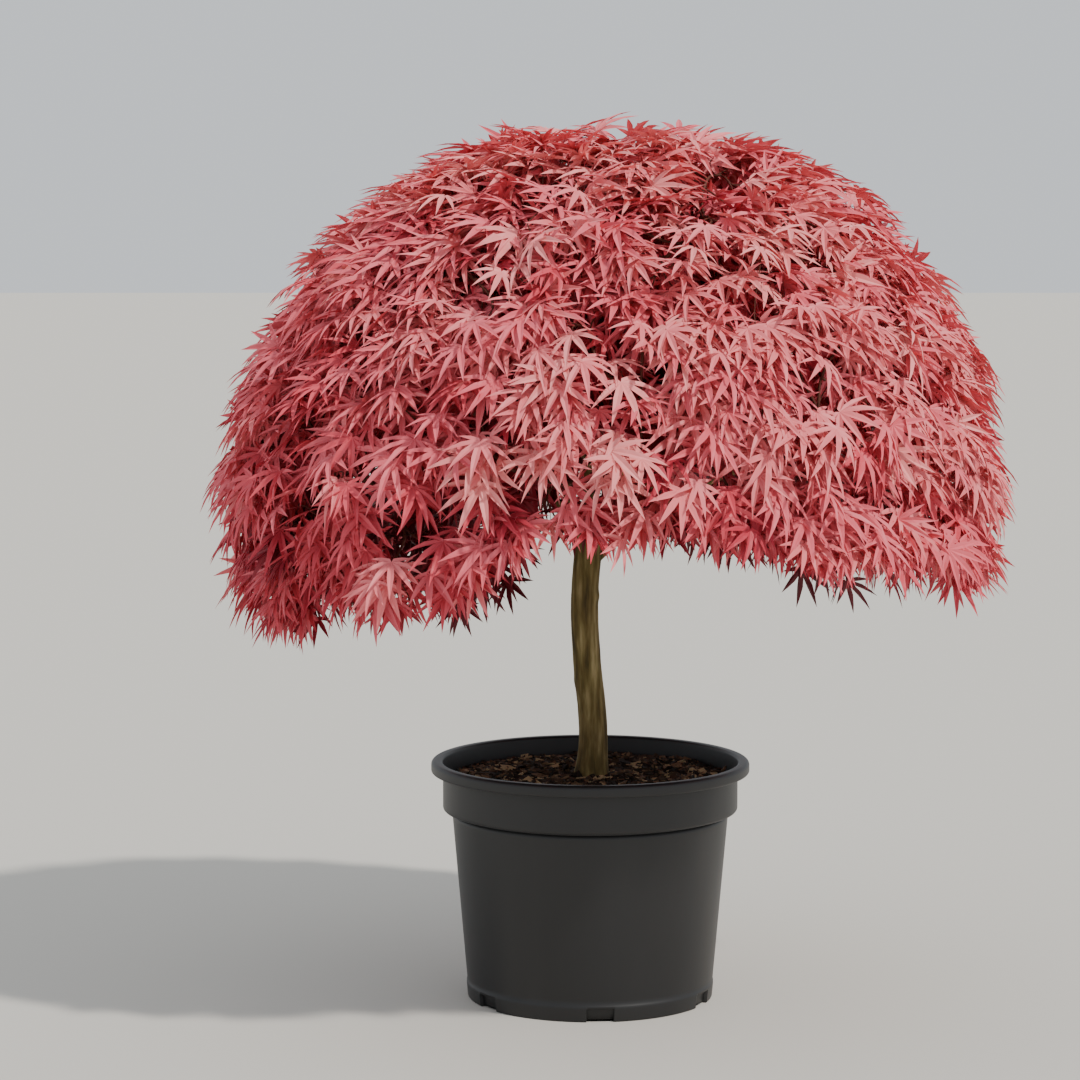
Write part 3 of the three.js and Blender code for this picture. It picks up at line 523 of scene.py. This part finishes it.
def on_head(rise):
    """A start on the trunk's head, at a height over the fork."""
    return np.array([-1.0, 0.0, FORK_HEIGHT + rise])


def plan_bough(mass, azimuth, start, slope, kind):
    """A bough of a kind, from its start to its tip under the seat of its mass."""
    return dict(
        mass=mass,
        seat=(azimuth, kind["fall"]),
        start=start,
        tip=inward(crown_point(azimuth, kind["fall"]), kind["depth"]),
        departs=heading(azimuth, slope),
        arrives=heading(azimuth, kind["arrives"]),
        radii=kind["radii"],
    )


def carrier(uppers, azimuth):
    """The upper bough that lies nearest to an azimuth and carries no other, or else the nearest."""
    nearest = sorted(uppers, key=lambda bough: abs((bough["seat"][0] - azimuth + 180) % 360 - 180))
    return next((bough for bough in nearest if "carries" not in bough), nearest[0])


def plan_boughs():
    """Each bough's mass, its ends and directions, its radii and the seat of its mass, as in the solids."""
    top = dict(mass="top", seat=(0, 0), start=on_head(TOP_RISE), tip=TOP_TIP, radii=TOP_BOUGH["radii"])
    top |= dict(departs=heading(*TOP_BOUGH["departs"]), arrives=heading(*TOP_BOUGH["arrives"]))
    uppers, skirts = [], []
    for k, name in enumerate(UPPERS):
        start = on_head(UPPER_RISES[k % 2])
        uppers.append(plan_bough("upper_" + name, 60 * k, start, UPPER_BOUGH["departs"], UPPER_BOUGH))
    for k, name in enumerate(COMPASS):
        azimuth = 45 * k
        start, slope = on_head(LONE_RISE), LONE_SLOPE
        if name != LONE_BOUGH:
            parent = carrier(uppers, azimuth)
            parent["carries"] = name
            start, slope = bough_line(parent, FORK_STEPS)[FORK_STEP], SKIRT_BOUGH["departs"]
        skirts.append(plan_bough("skirt_" + name, azimuth, start, slope, SKIRT_BOUGH))
    return [top] + uppers + skirts


def ridges(turn, along, scale):
    """Bark relief: shallow ridges that run along the grain and wander, between -1 and 1."""
    wander = 0.5 * np.sin(along * 0.031 * scale + 1.3) + 0.35 * np.sin(along * 0.083 * scale + turn)
    broad = np.sin(11 * turn + 3 * wander + 0.02 * along)
    fine = 0.6 * np.sin(23 * turn - 5 * wander + 0.055 * along)
    return 0.5 * (broad + fine) * (0.7 + 0.3 * np.sin(along * 0.12 + 4 * np.sin(turn)))


def eased(share, ends):
    """A share of the way up, eased to run from 0 to 1 between two ends."""
    place = np.clip((share - ends[0]) / (ends[1] - ends[0]), 0, 1)
    return place**2 * (3 - 2 * place)


def trunk_tube():
    """The clear stem: a flare with three roots, a swollen head that closes at the fork, knots and bark."""
    line = through(TRUNK_WAY, np.linspace(0, 1, TRUNK_RINGS))
    share = np.linspace(0, 1, TRUNK_RINGS)[:, None]
    turn = even_turns(TRUNK_SIDES)[None, :]
    roots = 1 + ROOT_RELIEF * np.cos(ROOT_COUNT * turn + ROOT_TURN)
    flare = ROOT_FLARE * np.exp(-share / FLARE_FADE) * roots
    radius = TRUNK_RADIUS + FOOT_THICKENING * np.exp(-share / FOOT_THICKENING_FADE) + flare
    radius = radius + HEAD_SWELLING * eased(share, HEAD_RISE) - HEAD_NARROWING * eased(share, HEAD_CLOSING)
    knots = 0
    for proud, place, spread, knot_turn in TRUNK_KNOTS:
        facing = np.clip(np.cos(turn - knot_turn), 0, 1) ** 3
        knots = knots + proud * np.exp(-(((share - place) / spread) ** 2)) * facing
    radius = radius + knots + BARK_RELIEF * ridges(turn, line[:, 2:], 1)
    return tubes(line[None], radius[None], TRUNK_SIDES)


def bough_tube(bough):
    """A tapering bough with a collar at its foot, the swollen joints of old leaf pairs, and bark."""
    length = np.linalg.norm(bough["tip"] - bough["start"])
    share = np.linspace(0, 1, BOUGH_RINGS)[:, None]
    foot, tip = bough["radii"]
    radius = foot + (tip - foot) * share
    collar = BOUGH_COLLAR * foot * np.exp(-share * length / BOUGH_COLLAR_LENGTH)
    from_joint = (share * length + JOINT_START) % JOINT_SPACING - JOINT_SPACING / 2
    joints = JOINT_PROUD * radius * np.exp(-((from_joint / JOINT_LENGTH) ** 2))
    relief = BOUGH_RELIEF * radius * ridges(even_turns(BOUGH_SIDES)[None, :], share * length, 2)
    radii = (radius + collar + joints + relief)[None]
    return tubes(bough_line(bough, BOUGH_RINGS)[None], radii, BOUGH_SIDES)


bark = new_material("olive brown bark", "#5f5232", roughness=0.85, specular=0.3)
streak = noise(bark, (130, 130, 17), detail=6.0)
patch = noise(bark, (14, 14, 9), detail=3.0)
wood_tones = [(0.3, "#4a4029"), (0.46, "#75663f"), (0.58, "#94855c"), (0.7, "#b9aa83")]
wood = blend_colours(bark, streak, wood_tones)
mossy = blend_colours(bark, patch, [(0.45, "#7a6648"), (0.6, "#85804e")])
overlay = {"blend_type": "OVERLAY", "Fac": 0.45}
bark_mix = add_node(bark, "MixRGB", overlay, {"Color1": wood, "Color2": mossy})
bark.node_tree.links.new(bark_mix.outputs[0], shader_of(bark).inputs["Base Color"])
bump(bark, streak, depth_mm=1.2, strength=0.8)

boughs = plan_boughs()
limb_points, limb_faces, _ = joined([trunk_tube()] + [bough_tube(bough) for bough in boughs])
limbs = make_piece("trunk_and_boughs", limb_points, limb_faces, [bark])
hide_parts("trunk", *["bough_" + bough["mass"] for bough in boughs])

# Foliage
# Fine red-brown twigs branch from each bough's tip and bear opposite pairs of leaves on long stalks. A leaf
# hangs down and is cut nearly to its stalk into seven narrow pointed lobes, each folded along its midrib.

STEM_LENGTH, STEM_TAPER = 24, 0.9
BRANCH_TIP_RADIUS, TWIG_TIP_RADIUS, STALK_RADIUS = 1.7, 0.75, 0.42
TWIG_SIDES, STALK_SIDES = 5, 3
TWIG_POINTS, BARE_POINTS, LEAST_TWIG = 9, 2, 12
TWIG_TAPER, TWIG_SHARE, BEND_COST = 130, 0.85, 1.6
SEAT_DEPTH, OWNER_BACK = 0.2, 60

# The skin's places are dealt by steps that never fall into rows, round the crown and down it.
SKIN_RINGS, RING_AZIMUTH = 61, 200
ROUND_STEP, DOWN_STEP = 0.5698402909980532, 0.7548776662466927

# The first twigs: how many, and how far they end inside the skin, back along a leaf and out along its face.
BRANCHES = 150
BRANCH_INSET, BRANCH_BACK, BRANCH_LIFT = 12, 125, 18

# Each layer of sprays: how many, the first number dealt, how far the tips of the last leaves lie inside the
# skin, and how many stalks' lengths they allow for.
SPRAY_LAYERS = [
    (1020, 0, (-8, 10), (0.6, 1.2)),
    (420, 2000, (35, 80), (0.5, 1.4)),
    (220, 5000, (110, 230), (0.5, 1.6)),
]
BRANCH_SWAY, SPRAY_SWAY, LEAF_SWAY = 0.1, 0.35, 0.34
HANG_DOWN, HANG_OUT = 0.76, 0.56
FACE_OUT, FACE_UP = 0.8, 0.5
TIER_HEIGHT, TIER_DEPTH, EDGE_LIFT = 128, 34, 62
BAY_AZIMUTH, BAY_HALF_WIDTH, BAY_FALLS, BAY_KEPT = 254, 24, (0.98, 1.16), 0.35

# The leaves: their lengths, their stalks, and how they turn, scatter, roll, droop and spread.
LEAF_LENGTH, LEAF_SHARES = 54, (0.78, 1.08)
STALK, STALK_SHARES, STALK_SAG = 24, (0.7, 1.25), 1.2
PAIR_SPACING, PAIR_COUNTS, LAST_PAIR = 17, (2, 4), 0.12
STALK_ALONG, STALK_ACROSS, STALK_OUT = 0.75, 0.62, 0.25
LEAF_ALONG_STALK, LEAF_SCATTER, LEAF_ROLL = 0.45, 0.16, 0.4
DROOPS, SPREADS = (0.08, 0.42), (0.84, 1.08)
SKIN_ALLOWANCE, CLEAR_OF_AXIS, BLADE_BEHIND = 1, 45, 0.4

# The tints from pale to deep are partly the leaves' own pinks and reds and partly painted light and shade,
# pale for sunlit and deep for shaded. A spray's mean tint grows with its depth in the crown, its shade on the
# side away from the sun and how low it hangs, all painted shade, and scatters at random about that.
LEAF_TINTS_SUNLIT_TO_SHADED = ["#f29393", "#ec7f84", "#e46b76", "#d8525f", "#c03b4b", "#962937", "#691b25"]
PALEST_MEAN, TINT_SCATTER = 0.9, 0.8
DEPTH_SHADE_TINTS, DEPTH_REACH, DEPTH_MOST = 3.6, 100, 1.3
SHADE_TINTS, SUNNIEST, SUN_SIDE = 0.9, 0.6, np.array([0.55, -0.35, 0.75])
LOW_SHADE_TINTS, LOW_BELOW, LOW_REACH = 0.8, 700, 250

# One leaf material for each tint, from the sunlit pale to the deepest painted shade.
leaf_materials = [
    new_material(f"leaf tint sunlit to painted shade {number}", code, roughness=0.5, specular=0.35)
    for number, code in enumerate(LEAF_TINTS_SUNLIT_TO_SHADED, start=1)
]
twig_bark = new_material("red brown twig bark", "#5a3226", roughness=0.7, specular=0.3)
stalk_skin = new_material("red leaf stalk", "#b0434c", roughness=0.5, specular=0.35)


def fraction(x):
    """What is left over the whole number."""
    return x - np.floor(x)


def dealt_places(count, first=0):
    """Azimuths and falls dealt evenly over the skin, each ring of it getting its share by its area."""
    falls = np.linspace(0, FALL_END, SKIN_RINGS)
    line = crown_point(RING_AZIMUTH, falls)
    out = np.hypot(line[:, 0], line[:, 1])
    areas = np.linalg.norm(np.diff(line, axis=0), axis=1) * (out[:-1] + out[1:])
    filled = np.concatenate([[0], np.cumsum(areas)]) / areas.sum()
    numbers = np.arange(first, first + count) + 1
    azimuths = 360 * fraction(0.5 + numbers * ROUND_STEP)
    return azimuths, np.interp(fraction(0.5 + numbers * DOWN_STEP), filled, falls)


def skin_angle(azimuth, height):
    """The angle from the top at which the skin is at a height, and whether that height is in the crown."""
    fullness, waist = round_the_crown(FULLNESS, azimuth), round_the_crown(WAIST, azimuth)
    edge = round_the_crown(EDGE, azimuth)
    above = np.clip((height - waist) / (CROWN_TOP - waist), 0, 1) ** (1 / fullness)
    below = (np.clip((waist - height) / (waist - edge), 0, 1) * deepest(fullness)) ** (1 / fullness)
    angle = np.where(height > waist, np.arccos(above), math.pi / 2 + np.arcsin(below))
    return angle, (height > edge) & (height < CROWN_TOP)


def hollow(azimuth, height):
    """How hollow the skin is at a place, from 0 on its wandering tiers to 1 in the bays between them."""
    turn = np.radians(azimuth)
    wander = 1.6 * np.sin(2 * turn + 0.8) + 1.1 * np.sin(5 * turn + 2.1)
    tiers = np.sin(height * FULL_TURN / TIER_HEIGHT + wander)
    bays = np.sin(7 * turn + height / 60 + 1.4) * np.sin(4 * turn - height / 95)
    return np.clip(0.42 + 0.36 * tiers + 0.42 * bays, 0, 1)


def edge_lift(azimuth):
    """How far the lower edge is lifted over the skin's own at an azimuth. Sprays hang where it isn't."""
    turn = np.radians(azimuth)
    waves = np.sin(6 * turn + 3.67) + 0.8 * np.sin(11 * turn + 2.5 * np.sin(3 * turn))
    waves = waves + 0.4 * np.sin(27 * turn)
    return EDGE_LIFT * np.clip(0.4 + 0.35 * waves, 0, 1)


def inside_skin(points):
    """Which points lie inside the skin and over its lifted edge."""
    azimuth = np.degrees(np.arctan2(points[..., 1], points[..., 0]))
    angle, within = skin_angle(azimuth, points[..., 2])
    reach = round_the_crown(REACH, azimuth) * np.sin(angle) ** round_the_crown(FULLNESS, azimuth)
    over_edge = points[..., 2] > round_the_crown(EDGE, azimuth) + edge_lift(azimuth)
    return within & over_edge & (np.hypot(points[..., 0], points[..., 1]) < reach + SKIN_ALLOWANCE)


def square_to(face, axis):
    """A face's way, made square to the axis."""
    return unit(face - np.sum(face * axis, -1, keepdims=True) * axis)


def hang(azimuth, fall, sway):
    """A place on the skin, the ways of a leaf's middle lobe and of its face there, and the way out."""
    point, down, out = crown_frame(azimuth, fall)
    around = np.cross(out, down)
    axis = unit(HANG_DOWN * down + HANG_OUT * out + sway[0][:, None] * around)
    face = FACE_OUT * out + FACE_UP * UP + sway[1][:, None] * around
    return point, axis, square_to(face, axis), out


class Mass:
    """One mass of foliage: the nodes that its next twig may leave from, and what has grown."""

    def __init__(self, bough):
        self.name = bough["mass"]
        self.seat = inward(crown_point(*bough["seat"]), SEAT_DEPTH)
        self.lines, self.radii, self.sprays = [], [], []
        self.points, self.ways, self.thick = np.empty((0, 3)), np.empty((0, 3)), np.empty(0)
        start, way, thickness = bough["tip"], bough["arrives"], bough["radii"][1]
        self.add_twig(start, way, start + STEM_LENGTH * way, way, thickness, STEM_TAPER * thickness)

    def add_twig(self, start, departs, tip, arrives, foot, last):
        """A twig from its start to its tip, thick at its foot and thin at its last point."""
        line, along = bezier(start, departs, tip, arrives, TWIG_POINTS)
        radii = foot + (last - foot) * np.linspace(0, 1, TWIG_POINTS)
        self.lines.append(line)
        self.radii.append(radii)
        self.points = np.vstack([self.points, line[BARE_POINTS:]])
        self.ways = np.vstack([self.ways, along[BARE_POINTS:]])
        self.thick = np.concatenate([self.thick, radii[BARE_POINTS:]])
        return line, along

    def grow(self, tip, axis, last):
        """A twig to its tip from the node that reaches it with the least way and bend and isn't too near."""
        way = tip - self.points
        length = np.linalg.norm(way, axis=1)
        straightness = np.sum(way * self.ways, axis=1) / np.maximum(length, TINY)
        cost = np.where(length < LEAST_TWIG, np.inf, length * (BEND_COST - straightness))
        best = np.argmin(cost)
        foot = max(last, min(self.thick[best] * TWIG_SHARE, last * (1 + length[best] / TWIG_TAPER)))
        return self.add_twig(self.points[best], self.ways[best], tip, axis, foot, last)


masses = [Mass(bough) for bough in boughs]
seats = np.array([mass.seat for mass in masses])


def nearest_mass(points):
    """The number of the mass whose seat is nearest to each point."""
    return np.argmin(np.linalg.norm(points[:, None] - seats[None], axis=2), axis=1)


def grow_branches(count):
    """The first twigs, those that end nearest to their mass's stem first. They end well behind the skin."""
    azimuth, fall = dealt_places(count)
    sway = rng.uniform(-BRANCH_SWAY, BRANCH_SWAY, (2, count))
    point, axis, face, out = hang(azimuth, fall, sway)
    tips = point - BRANCH_INSET * out - BRANCH_BACK * axis + BRANCH_LIFT * face
    owners = nearest_mass(point - OWNER_BACK * axis)
    ways = [np.linalg.norm(tip - masses[owner].lines[0][-1]) for tip, owner in zip(tips, owners)]
    for k in np.argsort(ways):
        masses[owners[k]].grow(tips[k], axis[k], BRANCH_TIP_RADIUS)


def grow_sprays(count, first, insets, backs):
    """Fine twigs that end where their last stalks begin, each noted with its depth, way out and height, which
    set the painted light and shade of its leaves' tint.
    """
    azimuth, fall = dealt_places(count, first)
    sway = rng.uniform(-SPRAY_SWAY, SPRAY_SWAY, (2, count))
    point, axis, _, out = hang(azimuth, fall, sway)
    inset = rng.uniform(*insets, count) + TIER_DEPTH * hollow(azimuth, point[:, 2])
    leaf_tips = point - inset[:, None] * out
    twig_tips = leaf_tips - (LEAF_LENGTH + STALK * rng.uniform(*backs, count))[:, None] * axis
    owners = nearest_mass(leaf_tips - OWNER_BACK * axis)
    in_bay = (np.abs(azimuth - BAY_AZIMUTH) < BAY_HALF_WIDTH) & (fall > BAY_FALLS[0]) & (fall < BAY_FALLS[1])
    kept = ~in_bay | (rng.random(count) < BAY_KEPT)
    for k in np.flatnonzero(kept):
        mass = masses[owners[k]]
        line, along = mass.grow(twig_tips[k], axis[k], TWIG_TIP_RADIUS)
        mass.sprays.append(dict(line=line, along=along, inset=inset[k], out=out[k], height=point[k, 2]))


grow_branches(BRANCHES)
for layer in SPRAY_LAYERS:
    grow_sprays(*layer)

# Half of a leaf, in shares of its length: each lobe's angle in degrees, length and half width, from the
# middle lobe out, and each valley's angle and distance. A station is a share of a lobe's length, and a rim
# station also has a share of its half width.
LOBES = [(0, 1.0, 0.078), (33, 0.95, 0.076), (66, 0.8, 0.068), (104, 0.5, 0.054)]
VALLEYS = [(16.5, 0.25), (49.5, 0.23), (85, 0.19), (150, 0.08)]
SPINE_STATIONS = (0.36, 0.68, 1)
RIM_STATIONS = ((0.48, 1.0), (0.76, 0.55))
FOLD, VALLEY_LIFT = 0.55, 0.03


def leaf_pattern():
    """A leaf before it droops: its points [along, across, up] from the stalk's end, and its triangles."""
    points, faces = [(0.0, 0.0, 0.0)], []

    def put(turn, along, across=0.0, lift=0.0):
        """Add a point that lies along and across a lobe, and give its number."""
        cos, sin = math.cos(math.radians(turn)), math.sin(math.radians(turn))
        points.append((cos * along - sin * across, sin * along + cos * across, lift))
        return len(points) - 1

    for mirror in (1, -1):
        for k, (turn, size, width) in enumerate(LOBES):
            if mirror < 0 and k == 0:
                continue
            turn *= mirror
            before = VALLEYS[k - 1] if k else (-VALLEYS[0][0], VALLEYS[0][1])
            after = VALLEYS[k]
            spine = [0] + [put(turn, station * size) for station in SPINE_STATIONS]
            for side, valley in ((-1, before), (1, after)):
                rim = [put(valley[0] * (mirror if k else 1), valley[1], lift=VALLEY_LIFT)]
                for station, share in RIM_STATIONS:
                    across = side * mirror * width * share
                    rim.append(put(turn, station * size, across, FOLD * width * share))
                corners = [(0, rim[0], spine[1]), (spine[1], rim[0], rim[1]), (spine[1], rim[1], spine[2])]
                faces += corners + [(spine[2], rim[1], rim[2]), (spine[2], rim[2], spine[3])]
    points = np.array(points)
    faces = np.array(faces)
    a, b, c = (points[faces[:, k], :2] for k in range(3))
    turned = (b - a)[:, 0] * (c - a)[:, 1] - (b - a)[:, 1] * (c - a)[:, 0] < 0
    faces[turned] = faces[turned][:, ::-1]
    return points, faces


def tint_with_painted_light(spray):
    """A spray's tint with painted light and shade: palest where it is outside, high and on the sunny side,
    deepest inside the crown and low down, with a random scatter.
    """
    sunny = spray["out"] @ unit(SUN_SIDE)
    low = np.clip((LOW_BELOW - spray["height"]) / LOW_REACH, 0, 1)
    depth = min(spray["inset"] / DEPTH_REACH, DEPTH_MOST)
    mean = PALEST_MEAN + DEPTH_SHADE_TINTS * depth + SHADE_TINTS * (SUNNIEST - sunny) + LOW_SHADE_TINTS * low
    return int(np.clip(round(rng.normal(mean, TINT_SCATTER)), 0, len(LEAF_TINTS_SUNLIT_TO_SHADED) - 1))


def hang_leaves(mass):
    """Where the stalks of a mass's leaves start, their ways and their tints, which carry painted light and
    shade.

    The pairs sit along the outer part of each fine twig, opposite, and crossed from pair to pair.
    """
    starts, ways, tints = [], [], []
    spans = TWIG_POINTS - 1
    for spray in mass.sprays:
        line, along = spray["line"], spray["along"]
        length = np.linalg.norm(np.diff(line, axis=0), axis=1).sum()
        pairs = int(np.clip(length / PAIR_SPACING, *PAIR_COUNTS))
        # Every leaf of a spray takes the spray's tint with its painted light and shade.
        tone = tint_with_painted_light(spray)
        roll = rng.uniform(0, math.pi)
        for pair in range(pairs):
            place = spans * max(LAST_PAIR, 1 - pair * PAIR_SPACING / length)
            k = min(int(place), spans - 1)
            start = line[k] + (line[k + 1] - line[k]) * (place - k)
            way = along[k]
            side = unit(np.cross(way, UP + 0.01))
            lift = np.cross(side, way)
            turn = roll + pair * math.pi / 2
            across = math.cos(turn) * side + math.sin(turn) * lift
            for sign in (-1, 1):
                starts.append(start)
                stalk = STALK_ALONG * way + STALK_ACROSS * sign * across + STALK_OUT * spray["out"]
                ways.append(unit(stalk))
                tints.append(tone)
    return np.array(starts), np.array(ways), np.array(tints)


pattern_points, pattern_faces = leaf_pattern()


def dress(mass):
    """A mass's leaves and stalks, without the leaves that would leave the skin or hang close to the axis."""
    starts, ways, tones = hang_leaves(mass)
    count = len(starts)
    sizes = LEAF_LENGTH * rng.uniform(*LEAF_SHARES, count)
    centres = starts + ways * (STALK * rng.uniform(*STALK_SHARES, count))[:, None]
    azimuth = np.degrees(np.arctan2(centres[:, 1], centres[:, 0]))
    angle, _ = skin_angle(azimuth, centres[:, 2])
    _, axis, face, _ = hang(azimuth, angle / (math.pi / 2), rng.normal(0, LEAF_SWAY, (2, count)))
    axis = unit(axis + LEAF_ALONG_STALK * ways + rng.normal(0, LEAF_SCATTER, (count, 3)))
    face = square_to(face, axis)
    roll = rng.normal(0, LEAF_ROLL, count)[:, None]
    side = np.cross(face, axis)
    face, side = face * np.cos(roll) + side * np.sin(roll), side * np.cos(roll) - face * np.sin(roll)
    droop = rng.uniform(*DROOPS, count)[:, None]
    spread = rng.uniform(*SPREADS, count)[:, None]
    along, across, up = (pattern_points[None, :, k] for k in range(3))
    across, up = across * spread, up - droop * np.hypot(along, across) ** 2
    shape = along[..., None] * axis[:, None] + across[..., None] * side[:, None]
    shape = shape + up[..., None] * face[:, None]
    points = centres[:, None] + sizes[:, None, None] * shape
    kept = inside_skin(points).all(axis=1) & (np.hypot(centres[:, 0], centres[:, 1]) > CLEAR_OF_AXIS)
    points, tones = points[kept], tones[kept]
    faces = pattern_faces[None] + len(pattern_points) * np.arange(len(points))[:, None, None]
    leaves = points.reshape(-1, 3), faces.reshape(-1, 3), np.repeat(tones, len(pattern_faces))
    middles = (starts + centres)[kept] / 2 - STALK_SAG * UP
    ends = centres[kept] - BLADE_BEHIND * face[kept]
    return leaves, np.stack([starts[kept], middles, ends], axis=1)


# Each mass's leaves are one piece, and their tints carry painted light and shade.
for mass in masses:
    (leaf_points, leaf_faces, leaf_tints_with_painted_light), stalks = dress(mass)
    leaf_name = "leaves_" + mass.name
    leaves = make_piece(leaf_name, leaf_points, leaf_faces, leaf_materials, leaf_tints_with_painted_light, smooth=False)
    twig_tubes = tubes(np.array(mass.lines), np.array(mass.radii)[..., None], TWIG_SIDES)
    stalk_tubes = tubes(stalks, np.full((1, 1, 1), STALK_RADIUS), STALK_SIDES)
    twig_points, twig_faces, twig_parts = joined([twig_tubes, stalk_tubes])
    twigs = make_piece("twigs_" + mass.name, twig_points, twig_faces, [twig_bark, stalk_skin], twig_parts)
    for piece in (leaves, twigs):
        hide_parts("foliage_" + mass.name)

# Stage
# A plain pale floor and an even sky, with the sun from the upper right as in the photograph. The camera was
# fitted to the pot's rim and foot, and the stage is in metres.

FLOOR_HALF = 30.0
SKY_STRENGTH = 0.95
SUN_ENERGY, SUN_WIDTH, SUN_COLOUR, SUN_FROM = 3.0, math.radians(3), (1.0, 0.95, 0.88), (0.55, -0.42, 0.8)
CAMERA_PLACE, CAMERA_PITCH, CAMERA_LENS = (-0.060, -4.0, 0.953), math.radians(5.78), 112.9


def make_floor():
    """One square face, wide enough to reach the horizon."""
    mesh = bpy.data.meshes.new("floor")
    corners = [(x * FLOOR_HALF, y * FLOOR_HALF, 0) for x, y in ((-1, -1), (1, -1), (1, 1), (-1, 1))]
    mesh.from_pydata(corners, [], [(0, 1, 2, 3)])
    mesh.materials.append(new_material("pale floor", "#cfccc5", roughness=0.9, specular=0.2))
    made = bpy.data.objects.new("floor", mesh)
    bpy.context.scene.collection.objects.link(made)
    return made


make_floor()

world = bpy.data.worlds.new("even sky")
world.use_nodes = True
world.node_tree.nodes["Background"].inputs["Color"].default_value = tint("#e6ebf0")
world.node_tree.nodes["Background"].inputs["Strength"].default_value = SKY_STRENGTH
bpy.context.scene.world = world

sun_data = bpy.data.lights.new("sun", "SUN")
sun_data.energy = SUN_ENERGY
sun_data.angle = SUN_WIDTH
sun_data.color = SUN_COLOUR
sun = bpy.data.objects.new("sun", sun_data)
sun.rotation_euler = Vector(SUN_FROM).to_track_quat("Z", "Y").to_euler()
bpy.context.scene.collection.objects.link(sun)

camera_data = bpy.data.cameras.new("camera")
camera_data.lens = CAMERA_LENS
camera_data.sensor_width = 36
camera_data.clip_end = 100
camera = bpy.data.objects.new("camera", camera_data)
camera.location = CAMERA_PLACE
camera.rotation_euler = (math.pi / 2 - CAMERA_PITCH, 0, 0)
bpy.context.scene.collection.objects.link(camera)
bpy.context.scene.camera = camera
